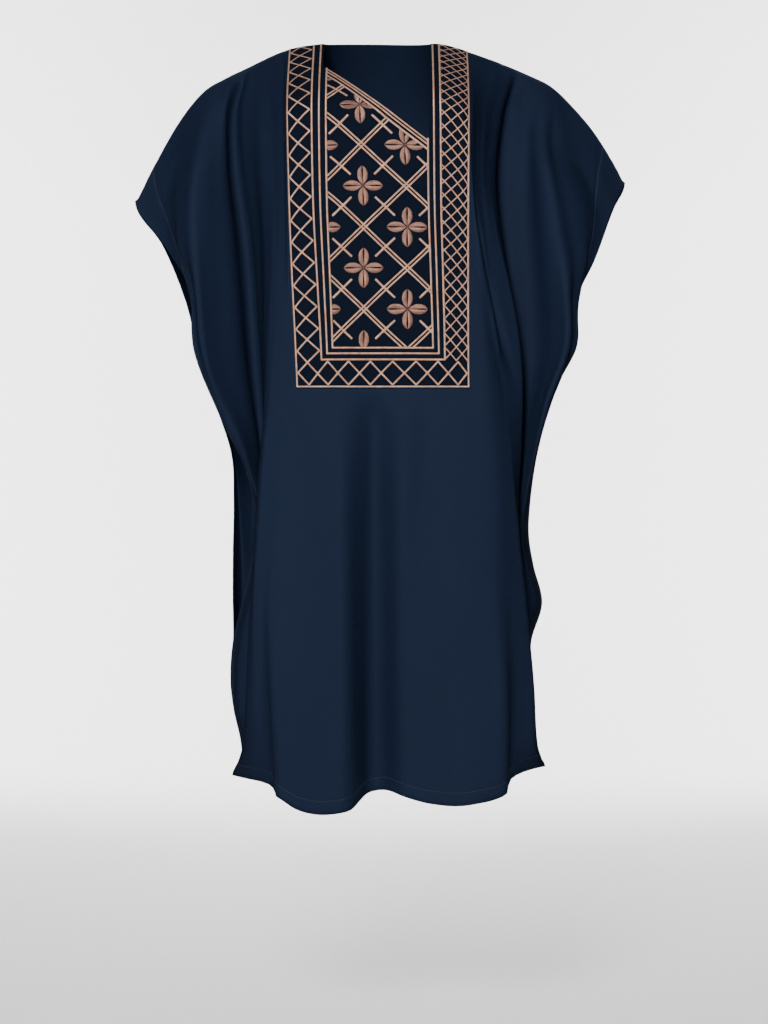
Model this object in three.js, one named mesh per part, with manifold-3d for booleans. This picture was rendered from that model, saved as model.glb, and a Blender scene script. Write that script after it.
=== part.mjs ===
// Agbada: the wide over-robe of a West African man's dress, hollow and in its worn form.
//
// The robe is one broad front and one broad back, joined along the shoulders and, from the hem up
// to the sleeve openings, along the sides. An embroidered plastron lies on the chest, around a
// neck opening whose front edge slants down to the wearer's left.
//
// Units are millimetres. +Z is up, +Y is the wearer's back, and +X is the wearer's left, so the
// front faces -Y. The origin is where the robe is carried: between the two shoulder seams, at the
// height of their neck ends.
import * as THREE from "three";
import { mergeVertices } from "three/addons/utils/BufferGeometryUtils.js";
import Module from "manifold-3d";

// Cloth and seams
const CLOTH = 1.5; // wall of the front and back
const PLASTRON_CLOTH = 1.0; // wall of the embroidered plastron
const SEAM_GAP = 0.3; // between two pieces that are sewn together

// Neck
const NECK_OUT_RIGHT = 84; // from the centre to the opening's straight right side
const NECK_OUT_LEFT = 76; // to its left side at the shoulder seam
const NECK_OUT_LEFT_LOW = 71; // and at the lower end of the slanting edge
const NECK_DOWN_RIGHT = 45; // where the slanting edge starts, below the shoulder seam
const NECK_DOWN_LEFT = 164; // where it ends
const NAPE_BACK = 52; // how far the back neck's edge stands behind the shoulder seams
const NAPE_UP = 6; // and how far it rises above them

// How the cloth leaves the shoulder seam: it slopes away at first and hangs after this drop.
const CHEST_DROP = 128;
const CHEST_POWER = 1.5;

// Plastron and sleeve openings
const PLASTRON_HALF_WIDTH = 136; // measured across the cloth
const PLASTRON_DOWN = 526; // from the neck's height down to its straight lower edge
const PLASTRON_START = 0.12; // of the way from the shoulder seam to the front's next row
const SEAM_RUN_IN = 80; // height over which an opening's edges turn towards each other
const RIGHT_SEAM_TOP = 900;
const LEFT_SEAM_TOP = 792;

// The shoulder seam, from the wing's tip on the wearer's right to the one on the left.
const SHOULDER = columns("out down", [
  [-370, 237],
  [-348, 197],
  [-304, 119],
  [-266, 72],
  [-233, 52],
  [-204, 38],
  [-142, 10],
  [-80, 0],
  [80, 0],
  [91, 0.5],
  [130, 11],
  [228, 49],
  [259, 65],
  [285, 89],
  [325, 136],
  [356, 186],
  [370, 210],
]);

// The side seams, from the sleeve opening to the corner of the hem. Here and below, each row is
// one section: how far down, how far out to the wearer's left (negative to the right), and how
// far ahead of the shoulder seam (for the back, behind it).
const RIGHT_SEAM = [
  [900, -222, 0],
  [961, -226, 0],
  [1006, -221, 0],
  [1051, -211, 0],
  [1081, -209, 0],
  [1098, -215, 0],
];
const LEFT_SEAM = [
  [792, 233, 0],
  [844, 245, 0],
  [902, 228, 0],
  [989, 234, 0],
  [1060, 238, 0],
  [1088, 246, 0],
];

// The folds of the front, from the wearer's right to the left. `across` counts along the cloth
// from its centre line, and `seamOut` is where the fold leaves the shoulder seam.
const FRONT_FOLDS = [
  {
    name: "right opening",
    across: -470,
    seamOut: -370,
    edge: true,
    rows: [
      [237, -370, 0],
      [316, -317, 45],
      [380, -281, 82],
      [467, -275, 95],
      [551, -243, 92],
      [645, -198, 75],
      [711, -186, 55],
      [775, -192, 38],
      [838, -207, 20],
      ...RIGHT_SEAM,
    ],
  },
  {
    name: "right wing crease",
    across: -432,
    seamOut: -297,
    rows: [
      [180, -306, 34],
      [250, -305, 56],
      [310, -300, 70],
      [380, -276, 88],
      [467, -268, 98],
      [551, -240, 99],
      [645, -198, 82],
      [711, -183, 60],
      [800, -192, 38],
      [900, -215, 14],
      [1000, -217, 8],
      [1051, -208, 6],
      [1096, -212, 4],
    ],
  },
  {
    name: "right sleeve drape",
    across: -385,
    seamOut: -262,
    rows: [
      [150, -266, 66],
      [260, -272, 90],
      [380, -264, 100],
      [500, -248, 104],
      [600, -206, 94],
      [710, -178, 72],
      [800, -184, 50],
      [900, -206, 29],
      [1000, -212, 20],
      [1051, -203, 16],
      [1094, -206, 12],
    ],
  },
  {
    name: "right deep pleat",
    across: -300,
    seamOut: -205,
    rows: [
      [100, -217, 36],
      [180, -214, 40],
      [300, -198, 48],
      [450, -186, 54],
      [600, -175, 58],
      [710, -168, 58],
      [800, -174, 50],
      [900, -188, 44],
      [1000, -192, 42],
      [1051, -188, 40],
      [1096, -186, 38],
    ],
  },
  {
    name: "right edge of the front's centre",
    across: -215,
    seamOut: -168,
    rows: [
      [100, -161, 90],
      [300, -157, 114],
      [500, -167, 120],
      [700, -181, 118],
      [900, -193, 106],
      [1000, -198, 92],
      [1051, -202, 72],
      [1078, -210, 48],
      [1101, -220, 28],
    ],
  },
  {
    name: "behind the right bend",
    across: -182,
    seamOut: -152,
    rows: [
      [100, -150, 102],
      [300, -147, 123],
      [500, -154, 129],
      [700, -164, 129],
      [850, -172, 124],
      [1000, -168, 112],
      [1107, -161, 107],
    ],
  },
  {
    name: "right bend",
    across: -166,
    seamOut: -145,
    rows: [
      [100, -143, 110],
      [300, -139, 129],
      [500, -143, 134],
      [700, -152, 135],
      [850, -160, 134],
      [1000, -154, 131],
      [1122, -149, 127],
    ],
  },
  {
    name: "plastron's right edge",
    across: -PLASTRON_HALF_WIDTH,
    seamOut: -137,
    rows: [
      [100, -137, 132],
      [300, -132, 136],
      [525, -122, 137],
      [800, -116, 138],
      [1142, -119, 137],
    ],
  },
  {
    name: "right of the middle",
    across: -60,
    seamOut: -60,
    rows: [
      [130, -60, 138],
      [525, -58, 140],
      [800, -55, 137],
      [1144, -52, 132],
    ],
  },
  {
    name: "slope of the trough",
    across: -30,
    seamOut: -30,
    rows: [
      [130, -30, 138],
      [525, -29, 139],
      [800, -28, 124],
      [1129, -27, 112],
    ],
  },
  {
    name: "middle trough",
    across: 5,
    seamOut: 5,
    rows: [
      [130, 5, 138],
      [525, 5, 139],
      [800, 5, 117],
      [1117, 5, 98],
    ],
  },
  {
    name: "left of the middle",
    across: 70,
    seamOut: 70,
    rows: [
      [130, 70, 138],
      [525, 72, 140],
      [800, 73, 134],
      [1134, 75, 126],
    ],
  },
  {
    name: "plastron's left edge",
    across: PLASTRON_HALF_WIDTH,
    seamOut: 132,
    rows: [
      [100, 131, 132],
      [300, 130, 136],
      [525, 131, 137],
      [800, 136, 139],
      [1133, 139, 137],
    ],
  },
  {
    name: "left bend",
    across: 172,
    seamOut: 144,
    rows: [
      [120, 139, 118],
      [213, 135, 128],
      [300, 141, 131],
      [500, 158, 134],
      [700, 170, 134],
      [870, 179, 133],
      [960, 185, 131],
      [1118, 184, 126],
    ],
  },
  {
    name: "behind the left bend",
    across: 186,
    seamOut: 151,
    rows: [
      [120, 142, 112],
      [213, 138, 121],
      [300, 145, 124],
      [500, 168, 128],
      [700, 182, 128],
      [870, 191, 122],
      [960, 195, 114],
      [1099, 193, 108],
    ],
  },
  {
    name: "left edge of the front's centre",
    across: 218,
    seamOut: 164,
    rows: [
      [120, 150, 100],
      [213, 147, 110],
      [298, 154, 114],
      [381, 164, 116],
      [572, 189, 118],
      [700, 201, 114],
      [837, 216, 106],
      [963, 228, 96],
      [1050, 234, 79],
      [1070, 239, 60],
      [1087, 248, 34],
    ],
  },
  {
    name: "left crisp pleat",
    across: 265,
    seamOut: 188,
    rows: [
      [120, 168, 80],
      [206, 160, 96],
      [282, 171, 103],
      [419, 201, 104],
      [500, 211, 100],
      [600, 211, 92],
      [700, 206, 80],
      [900, 219, 60],
      [1050, 218, 52],
      [1086, 218, 44],
    ],
  },
  {
    name: "left deep pleat",
    across: 325,
    seamOut: 218,
    rows: [
      [110, 208, 40],
      [200, 198, 46],
      [300, 199, 52],
      [400, 207, 56],
      [500, 212, 58],
      [600, 208, 58],
      [700, 203, 54],
      [800, 212, 46],
      [900, 213, 38],
      [1050, 210, 34],
      [1084, 208, 30],
    ],
  },
  {
    name: "left sleeve drape",
    across: 395,
    seamOut: 266,
    rows: [
      [150, 253, 64],
      [250, 260, 88],
      [380, 271, 99],
      [463, 272, 102],
      [550, 244, 99],
      [640, 225, 84],
      [740, 212, 56],
      [840, 233, 32],
      [910, 222, 25],
      [1000, 227, 18],
      [1055, 226, 14],
      [1086, 232, 10],
    ],
  },
  {
    name: "left wing crease",
    across: 435,
    seamOut: 292,
    rows: [
      [180, 297, 36],
      [252, 306, 56],
      [332, 305, 72],
      [400, 286, 86],
      [463, 282, 94],
      [540, 253, 96],
      [625, 230, 78],
      [700, 219, 52],
      [792, 227, 22],
      [844, 240, 16],
      [902, 226, 12],
      [1000, 231, 8],
      [1055, 233, 5],
      [1087, 240, 3],
    ],
  },
  {
    name: "left opening",
    across: 470,
    seamOut: 370,
    edge: true,
    rows: [
      [210, 370, 0],
      [252, 351, 22],
      [332, 320, 52],
      [385, 295, 72],
      [463, 291, 86],
      [513, 266, 88],
      [563, 247, 84],
      [625, 233, 66],
      [693, 225, 38],
      [741, 224, 16],
      ...LEFT_SEAM,
    ],
  },
];

// The folds of the back, in the same order. Little of them shows from the front.
const BACK_FOLDS = [
  {
    name: "right opening",
    across: -470,
    seamOut: -370,
    edge: true,
    rows: [
      [237, -370, 0],
      [300, -332, 34],
      [380, -300, 66],
      [460, -280, 84],
      [550, -250, 88],
      [620, -229, 82],
      [690, -225, 68],
      [760, -225, 48],
      [830, -224, 24],
      ...RIGHT_SEAM,
    ],
  },
  {
    name: "right sleeve drape",
    across: -390,
    seamOut: -268,
    rows: [
      [150, -270, 58],
      [260, -278, 82],
      [400, -276, 96],
      [520, -256, 100],
      [620, -226, 98],
      [720, -216, 86],
      [820, -213, 68],
      [900, -216, 50],
      [960, -220, 38],
      [1010, -213, 28],
      [1060, -204, 22],
      [1106, -211, 18],
    ],
  },
  {
    name: "right pleat",
    across: -300,
    seamOut: -205,
    rows: [
      [110, -208, 46],
      [300, -204, 58],
      [500, -200, 62],
      [700, -186, 60],
      [900, -180, 62],
      [1114, -182, 66],
    ],
  },
  {
    name: "right edge of the back's centre",
    across: -215,
    seamOut: -162,
    rows: [
      [120, -160, 92],
      [300, -158, 112],
      [500, -162, 116],
      [750, -166, 116],
      [1122, -172, 112],
    ],
  },
  {
    name: "right shoulder blade",
    across: -125,
    seamOut: -112,
    rows: [
      [130, -114, 112],
      [300, -112, 126],
      [550, -108, 124],
      [800, -108, 128],
      [1130, -112, 136],
    ],
  },
  {
    name: "right trough",
    across: -48,
    seamOut: -48,
    rows: [
      [150, -48, 116],
      [350, -47, 120],
      [600, -44, 110],
      [850, -44, 100],
      [1122, -44, 96],
    ],
  },
  {
    name: "middle of the back",
    across: 20,
    seamOut: 20,
    rows: [
      [150, 20, 116],
      [350, 20, 121],
      [600, 22, 120],
      [850, 24, 124],
      [1130, 26, 130],
    ],
  },
  {
    name: "left trough",
    across: 84,
    seamOut: 78,
    rows: [
      [150, 78, 114],
      [350, 78, 123],
      [600, 82, 114],
      [850, 88, 106],
      [1124, 90, 102],
    ],
  },
  {
    name: "left shoulder blade",
    across: 140,
    seamOut: 122,
    rows: [
      [130, 122, 112],
      [300, 122, 125],
      [550, 124, 124],
      [800, 132, 126],
      [1128, 144, 132],
    ],
  },
  {
    name: "left edge of the back's centre",
    across: 215,
    seamOut: 166,
    rows: [
      [120, 164, 92],
      [300, 164, 110],
      [500, 170, 116],
      [750, 184, 114],
      [1114, 202, 108],
    ],
  },
  {
    name: "left pleat",
    across: 300,
    seamOut: 212,
    rows: [
      [110, 210, 46],
      [300, 206, 58],
      [500, 206, 62],
      [700, 196, 60],
      [900, 204, 58],
      [1104, 218, 56],
    ],
  },
  {
    name: "left sleeve drape",
    across: 390,
    seamOut: 272,
    rows: [
      [150, 268, 58],
      [260, 272, 82],
      [400, 278, 96],
      [500, 258, 98],
      [600, 232, 92],
      [700, 216, 74],
      [800, 222, 50],
      [860, 230, 44],
      [920, 222, 38],
      [1000, 226, 32],
      [1094, 236, 26],
    ],
  },
  {
    name: "left opening",
    across: 470,
    seamOut: 370,
    edge: true,
    rows: [
      [210, 370, 0],
      [260, 345, 26],
      [340, 308, 60],
      [420, 288, 82],
      [500, 264, 92],
      [563, 243, 88],
      [625, 229, 70],
      [693, 222, 42],
      [741, 221, 18],
      ...LEFT_SEAM,
    ],
  },
];

// How finely the pieces are faceted
const ROWS_ABOVE = 13; // down to the plastron's lower edge
const ROWS_BELOW = 12; // from there to the hem
const TOP_ROWS_CLOSER = 1.5; // power that gathers the first rows near the shoulder
const FRONT_COLUMNS = [2, 2, 4, 4, 2, 1, 2, 3, 1, 2, 3, 3, 2, 1, 2, 2, 3, 3, 2, 2]; // between folds
const BACK_COLUMNS = [4, 4, 3, 3, 3, 3, 3, 3, 3, 3, 4, 4];
const NECK_CUT_REACH = 300; // how far ahead and up the neck's cutter goes

// Seen colours
const NAVY = 0x1b2a40;
const NAVY_PLASTRON = 0x141c2c;

// Turns a table with named columns into one list of numbers per column.
function columns(names, rows) {
  const lists = names
    .split(" ")
    .map((name, index) => [name, rows.map((row) => row[index])]);
  return Object.fromEntries(lists);
}

// A smooth function through values given at rising positions, level beyond both ends.
function curve(positions, values) {
  const spline = new THREE.CubicInterpolant(
    new Float64Array(positions),
    new Float64Array(values),
    1,
    new Float64Array(1),
  );
  return (position) => spline.evaluate(position)[0];
}

const shoulderDown = curve(SHOULDER.out, SHOULDER.down);

// The share of its full reach that the cloth has after a drop below the shoulder seam.
function reachAfter(drop) {
  const left = 1 - Math.min(Math.max(drop / CHEST_DROP, 0), 1);
  return 1 - left ** CHEST_POWER;
}

// Where the back's top edge lies over the nape: behind the shoulder seams, and above them.
function nape(out) {
  const halfWidth = out < 0 ? NECK_OUT_RIGHT : NECK_OUT_LEFT;
  const round = Math.sqrt(Math.max(0, 1 - (out / halfWidth) ** 2));
  return { back: NAPE_BACK * round, up: NAPE_UP * round };
}

// How far out and how far away from the shoulder seam's plane one fold is, at any height.
function foldLine(fold) {
  const downs = fold.rows.map((row) => row[0]);
  const outs = fold.rows.map((row) => row[1]);
  const aways = fold.rows.map((row) => row[2]);
  const seamDown = shoulderDown(fold.seamOut);
  const away = curve(downs, aways);
  if (fold.edge) {
    return { out: curve(downs, outs), away: (down) => Math.max(away(down), 0) };
  }
  return {
    out: curve([seamDown, ...downs], [fold.seamOut, ...outs]),
    away: (down) => away(down) * reachAfter(down - seamDown),
  };
}

// The rows of points of both sheets: how far each one lies on the way from the shoulder seam to
// the plastron's lower edge, and from there to the hem.
function rowShares() {
  const above = Array.from({ length: ROWS_ABOVE }, (_, i) => ({
    above: (i / ROWS_ABOVE) ** TOP_ROWS_CLOSER,
    below: 0,
  }));
  const below = Array.from({ length: ROWS_BELOW + 1 }, (_, i) => ({
    above: 1,
    below: i / ROWS_BELOW,
  }));
  return [...above, ...below];
}

// The height of a row's point, between its column's shoulder seam and hem.
function rowDown(row, seamDown, hemDown) {
  const above = (PLASTRON_DOWN - seamDown) * row.above;
  return seamDown + above + (hemDown - PLASTRON_DOWN) * row.below;
}

// The places across the cloth at which a sheet has a column of points.
function columnPlaces(folds, counts) {
  const places = counts.flatMap((count, i) =>
    Array.from(
      { length: count },
      (_, k) =>
        folds[i].across + ((folds[i + 1].across - folds[i].across) * k) / count,
    ),
  );
  return [...places, folds[folds.length - 1].across];
}

// One hanging sheet as a grid of points, rows from the shoulder down and columns from the
// wearer's right to the left. `towards` is -1 for the front and +1 for the back.
function hangSheet(folds, counts, towards) {
  const across = folds.map((fold) => fold.across);
  const through = (values) => curve(across, values);
  const lines = folds.map(foldLine);
  const seamDowns = folds.map((fold) => shoulderDown(fold.seamOut));
  const hems = folds.map((fold) => fold.rows[fold.rows.length - 1][0]);
  const seamOut = through(folds.map((fold) => fold.seamOut));
  const hem = through(hems);
  const places = columnPlaces(folds, counts);
  const points = rowShares().map((row) => {
    const downs = seamDowns.map((top, i) => rowDown(row, top, hems[i]));
    const out = through(lines.map((line, i) => line.out(downs[i])));
    const away = through(lines.map((line, i) => line.away(downs[i])));
    return places.map((at) => {
      const down = rowDown(row, shoulderDown(seamOut(at)), hem(at));
      return new THREE.Vector3(out(at), towards * away(at), -down);
    });
  });
  if (towards > 0) hollowNape(points);
  const normals = outwardNormals(points, towards);
  return { points, places, towards, normals };
}

// Moves the back's first rows behind and above the straight line between the shoulder seams.
function hollowNape(points) {
  const seam = points[0].map((point) => point.clone());
  points.forEach((row, r) =>
    row.forEach((point, c) => {
      const hollow = nape(seam[c].x);
      const left = 1 - reachAfter(seam[c].z - points[r][c].z);
      point.y += hollow.back * left;
      point.z += hollow.up * left;
    }),
  );
}

// Unit normals of a grid, pointing out of the robe. Along the shoulder seam and the side seams
// they lie in the plane of the joint, so that the two walls meet there face to face.
function outwardNormals(points, towards) {
  const lastRow = points.length - 1;
  const lastColumn = points[0].length - 1;
  return points.map((row, r) =>
    row.map((point, c) => {
      const along = row[Math.min(c + 1, lastColumn)]
        .clone()
        .sub(row[Math.max(c - 1, 0)]);
      const down = points[Math.min(r + 1, lastRow)][c]
        .clone()
        .sub(points[Math.max(r - 1, 0)][c]);
      const normal = along.cross(down).multiplyScalar(towards).normalize();
      if (r === 0) normal.y = 0;
      if (c === 0 || c === lastColumn) {
        const sewn = sideSewn(point);
        normal.multiplyScalar(1 - sewn).x += Math.sign(point.x) * sewn;
        if (sewn === 1) normal.y = 0;
      }
      return normal.normalize();
    }),
  );
}

// How much of the side seam holds a point of an outer edge: 0 where the sleeve opening is free,
// 1 from the seam's top down.
function sideSewn(point) {
  const seamTop = point.x < 0 ? RIGHT_SEAM_TOP : LEFT_SEAM_TOP;
  const above = (seamTop + point.z) / SEAM_RUN_IN;
  return 1 - Math.min(Math.max(above, 0), 1);
}

// The closed wall between two grids of points that match each other.
function wallBetween(outer, inner) {
  const rows = outer.length;
  const columns = outer[0].length;
  const positions = [];
  const corner = (p) => positions.push(p.x, p.y, p.z);
  const quad = (a, b, c, d) => [a, b, c, a, c, d].forEach(corner);
  for (let r = 0; r < rows - 1; r += 1) {
    for (let c = 0; c < columns - 1; c += 1) {
      quad(outer[r][c], outer[r + 1][c], outer[r + 1][c + 1], outer[r][c + 1]);
      quad(inner[r][c], inner[r][c + 1], inner[r + 1][c + 1], inner[r + 1][c]);
    }
  }
  for (let c = 0; c < columns - 1; c += 1) {
    const last = rows - 1;
    quad(outer[0][c], outer[0][c + 1], inner[0][c + 1], inner[0][c]);
    quad(inner[last][c], inner[last][c + 1], outer[last][c + 1], outer[last][c]);
  }
  for (let r = 0; r < rows - 1; r += 1) {
    const last = columns - 1;
    quad(inner[r][0], inner[r + 1][0], outer[r + 1][0], outer[r][0]);
    quad(outer[r][last], outer[r + 1][last], inner[r + 1][last], inner[r][last]);
  }
  const geometry = new THREE.BufferGeometry();
  geometry.setAttribute(
    "position",
    new THREE.Float32BufferAttribute(positions, 3),
  );
  return mergeVertices(geometry, 1e-3);
}

// A piece of cloth: the wall from one distance off a sheet's points to another. Every sheet
// stays on its own side of the seams between the front and the back.
function pieceOf(sheet, from, to) {
  const { towards } = sheet;
  const offset = (distance) =>
    sheet.points.map((row, r) =>
      row.map((point, c) => {
        const normal = sheet.normals[r][c];
        const moved = point.clone().addScaledVector(normal, distance);
        moved.y = towards * Math.max(towards * moved.y, SEAM_GAP / 2);
        return moved;
      }),
    );
  const geometry = wallBetween(offset(to), offset(from));
  return towards > 0 ? turnInsideOut(geometry) : geometry;
}

// The part of the front that the plastron covers, from just below the shoulder seam.
function chestOf(sheet) {
  const columns = [
    sheet.places.indexOf(-PLASTRON_HALF_WIDTH),
    sheet.places.indexOf(PLASTRON_HALF_WIDTH) + 1,
  ];
  const cut = (grid) =>
    grid.slice(0, ROWS_ABOVE + 1).map((row) => row.slice(...columns));
  const points = cut(sheet.points);
  const normals = cut(sheet.normals);
  points[0] = points[0].map((point, c) =>
    point.clone().lerp(points[1][c], PLASTRON_START),
  );
  normals[0] = normals[1];
  return { points, normals, towards: sheet.towards };
}

// Swaps two corners of each triangle.
function turnInsideOut(geometry) {
  const index = geometry.index.array;
  for (let i = 0; i < index.length; i += 3) {
    [index[i + 1], index[i + 2]] = [index[i + 2], index[i + 1]];
  }
  return geometry;
}

// The space of the front neck opening, with its slanting lower edge.
function neckCutter() {
  const outline = new THREE.Shape([
    new THREE.Vector2(-NECK_OUT_RIGHT, -NECK_DOWN_RIGHT),
    new THREE.Vector2(NECK_OUT_LEFT_LOW, -NECK_DOWN_LEFT),
    new THREE.Vector2(NECK_OUT_LEFT, 0),
    new THREE.Vector2(NECK_OUT_LEFT, NECK_CUT_REACH),
    new THREE.Vector2(-NECK_OUT_RIGHT, NECK_CUT_REACH),
  ]);
  const geometry = new THREE.ExtrudeGeometry(outline, {
    depth: 2 * NECK_CUT_REACH,
    bevelEnabled: false,
  });
  geometry.rotateX(Math.PI / 2);
  geometry.translate(0, NECK_CUT_REACH, 0);
  return geometry;
}

const wasm = await Module();
wasm.setup();

// A closed geometry as a solid that can be cut.
function solidOf(geometry) {
  geometry.deleteAttribute("normal");
  geometry.deleteAttribute("uv");
  const merged = mergeVertices(geometry, 1e-3);
  const mesh = new wasm.Mesh({
    numProp: 3,
    vertProperties: merged.attributes.position.array,
    triVerts: new Uint32Array(merged.index.array),
  });
  return new wasm.Manifold(mesh);
}

// A solid back as a geometry.
function geometryOf(solid) {
  const mesh = solid.getMesh();
  const geometry = new THREE.BufferGeometry();
  geometry.setAttribute(
    "position",
    new THREE.BufferAttribute(mesh.vertProperties, 3),
  );
  geometry.setIndex(new THREE.BufferAttribute(mesh.triVerts, 1));
  return geometry;
}

// A cloth piece with the front neck opening cut out of it.
function withNeckOpening(geometry) {
  return geometryOf(solidOf(geometry).subtract(solidOf(neckCutter())));
}

// A named mesh in its own matt cloth.
function clothMesh(name, geometry, color) {
  geometry.computeVertexNormals();
  const material = new THREE.MeshStandardMaterial({
    color,
    roughness: 0.8,
    metalness: 0,
  });
  const mesh = new THREE.Mesh(geometry, material);
  mesh.name = name;
  return mesh;
}

const front = hangSheet(FRONT_FOLDS, FRONT_COLUMNS, -1);
const back = hangSheet(BACK_FOLDS, BACK_COLUMNS, 1);

const agbada = new THREE.Group();
agbada.add(
  clothMesh("front_panel", withNeckOpening(pieceOf(front, -CLOTH, 0)), NAVY),
  clothMesh("back_panel", pieceOf(back, -CLOTH, 0), NAVY),
  clothMesh(
    "embroidered_plastron",
    withNeckOpening(
      pieceOf(chestOf(front), SEAM_GAP, SEAM_GAP + PLASTRON_CLOTH),
    ),
    NAVY_PLASTRON,
  ),
);

export default agbada;
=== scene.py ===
"""Looks of the agbada: the hanging cloth, its embroidered plastron, seams, light and camera.

Lengths in the size classes are millimetres, as in the part's own tables, and are turned into
metres where a mesh is made. The frame is the part's: +Z up, the front faces -Y, and +X is the
wearer's left. The origin is midway between the shoulder seams.
"""

from __future__ import annotations

import logging
import math
from dataclasses import dataclass
from enum import Enum
from typing import Callable, Iterable, Sequence

import bmesh
import bpy
import numpy as np
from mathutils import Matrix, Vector

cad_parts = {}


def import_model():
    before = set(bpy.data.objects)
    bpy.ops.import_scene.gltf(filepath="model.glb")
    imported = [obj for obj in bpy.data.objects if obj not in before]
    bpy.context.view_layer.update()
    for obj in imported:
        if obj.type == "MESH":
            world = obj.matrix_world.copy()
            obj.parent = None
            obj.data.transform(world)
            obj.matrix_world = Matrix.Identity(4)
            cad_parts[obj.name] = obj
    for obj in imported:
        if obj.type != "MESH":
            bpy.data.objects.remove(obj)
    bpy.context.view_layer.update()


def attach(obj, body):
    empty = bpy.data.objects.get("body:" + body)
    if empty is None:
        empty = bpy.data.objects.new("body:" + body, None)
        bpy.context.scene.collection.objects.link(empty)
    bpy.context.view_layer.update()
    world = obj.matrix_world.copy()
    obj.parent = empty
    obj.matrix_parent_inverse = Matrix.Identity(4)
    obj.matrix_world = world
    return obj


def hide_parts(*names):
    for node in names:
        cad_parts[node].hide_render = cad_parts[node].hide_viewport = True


LOG = logging.getLogger("agbada")
MM = 0.001
# Places on the cloth that are no further apart than this, in millimetres, count as one.
TOUCH = 0.01
# Distance between the points of an embroidered line, in millimetres.
POINT_STEP = 0.5
Array = np.ndarray
Row = tuple[float, float, float]


class Side(Enum):
    """Which half of the robe a sheet is, as the direction it faces along Y."""

    FRONT = -1
    BACK = 1


class Socket(Enum):
    """The kinds of input that a node group can have, as Blender names them."""

    GEOMETRY = "NodeSocketGeometry"
    LENGTH = "NodeSocketFloat"
    OBJECT = "NodeSocketObject"
    MATERIAL = "NodeSocketMaterial"


@dataclass(frozen=True)
class Fold:
    """One fold of a hanging sheet.

    Args:
        name: Where on the robe it is.
        across: Its place along the cloth, from the centre line, positive to the wearer's left.
        seam_out: Where it leaves the shoulder seam.
        rows: One (down, out, away) per section: below the neck, out to the wearer's left, and
            away from the plane of the seams.
        edge: Whether it is a free edge, which no body pushes out.
        crisp: Whether the cloth is pressed to a narrow crease here.
    """

    name: str
    across: float
    seam_out: float
    rows: tuple[Row, ...]
    edge: bool = False
    crisp: bool = False


@dataclass(frozen=True)
class RobeSizes:
    """Sizes that the whole robe shares, in millimetres.

    Args:
        wall: Thickness of the cloth.
        seam_gap: Gap between the two sheets along a seam.
        chest_drop: Drop below the shoulder seam over which the cloth rounds out.
        chest_power: How soon it does so.
        plastron_down: Depth of the plastron's lower edge below the neck.
        nape_back: How far the back lies behind the seams at the nape.
        nape_up: How far it stands above them there.
        crisp_reach: Half width of a crisp crease.
        stiff_half: Half width of the cloth that the embroidery stiffens.
        stiff_below: How far that cloth reaches below the plastron.
    """

    wall: float = 1.5
    seam_gap: float = 0.3
    chest_drop: float = 128.0
    chest_power: float = 1.5
    plastron_down: float = 526.0
    nape_back: float = 52.0
    nape_up: float = 6.0
    crisp_reach: float = 7.0
    stiff_half: float = 146.0
    stiff_below: float = 10.0


@dataclass(frozen=True)
class NeckSizes:
    """The front neck opening as it is cut, in millimetres.

    Args:
        out_right: Distance out of its right side.
        out_left: Distance out of its left side, at the shoulder.
        out_left_low: The same at the slanting edge's lower end.
        down_right: Depth of the slanting edge's upper end.
        down_left: Depth of its lower end.
        margin: How far round it the cloth's grid is cut along its lines.
    """

    out_right: float = 84.0
    out_left: float = 76.0
    out_left_low: float = 71.0
    down_right: float = 45.0
    down_left: float = 164.0
    margin: float = 15.0


@dataclass(frozen=True)
class GridSizes:
    """How finely the shown sheets are made.

    Args:
        rows_above: Rows down to the plastron's lower edge.
        rows_below: Rows from there to the hem.
        top_power: How much closer the rows are at the shoulder.
        column_step: Distance between columns, in millimetres.
    """

    rows_above: int = 92
    rows_below: int = 84
    top_power: float = 1.3
    column_step: float = 6.0


# The shoulder seam: out and down, from the wing's tip on the wearer's right to the left one.
SHOULDER: tuple[tuple[float, float], ...] = (
    (-370, 237), (-348, 197), (-304, 119), (-266, 72), (-233, 52), (-204, 38), (-142, 10), (-80, 0),
    (80, 0), (91, 0.5), (130, 11), (228, 49), (259, 65), (285, 89), (325, 136), (356, 186),
    (370, 210),
)

# The side seams, from the sleeve opening to the corner of the hem.
RIGHT_SEAM: tuple[Row, ...] = (
    (900, -222, 0), (961, -226, 0), (1006, -221, 0), (1051, -211, 0), (1081, -209, 0),
    (1098, -215, 0),
)
LEFT_SEAM: tuple[Row, ...] = (
    (792, 233, 0), (844, 245, 0), (902, 228, 0), (989, 234, 0), (1060, 238, 0), (1088, 246, 0),
)

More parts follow.
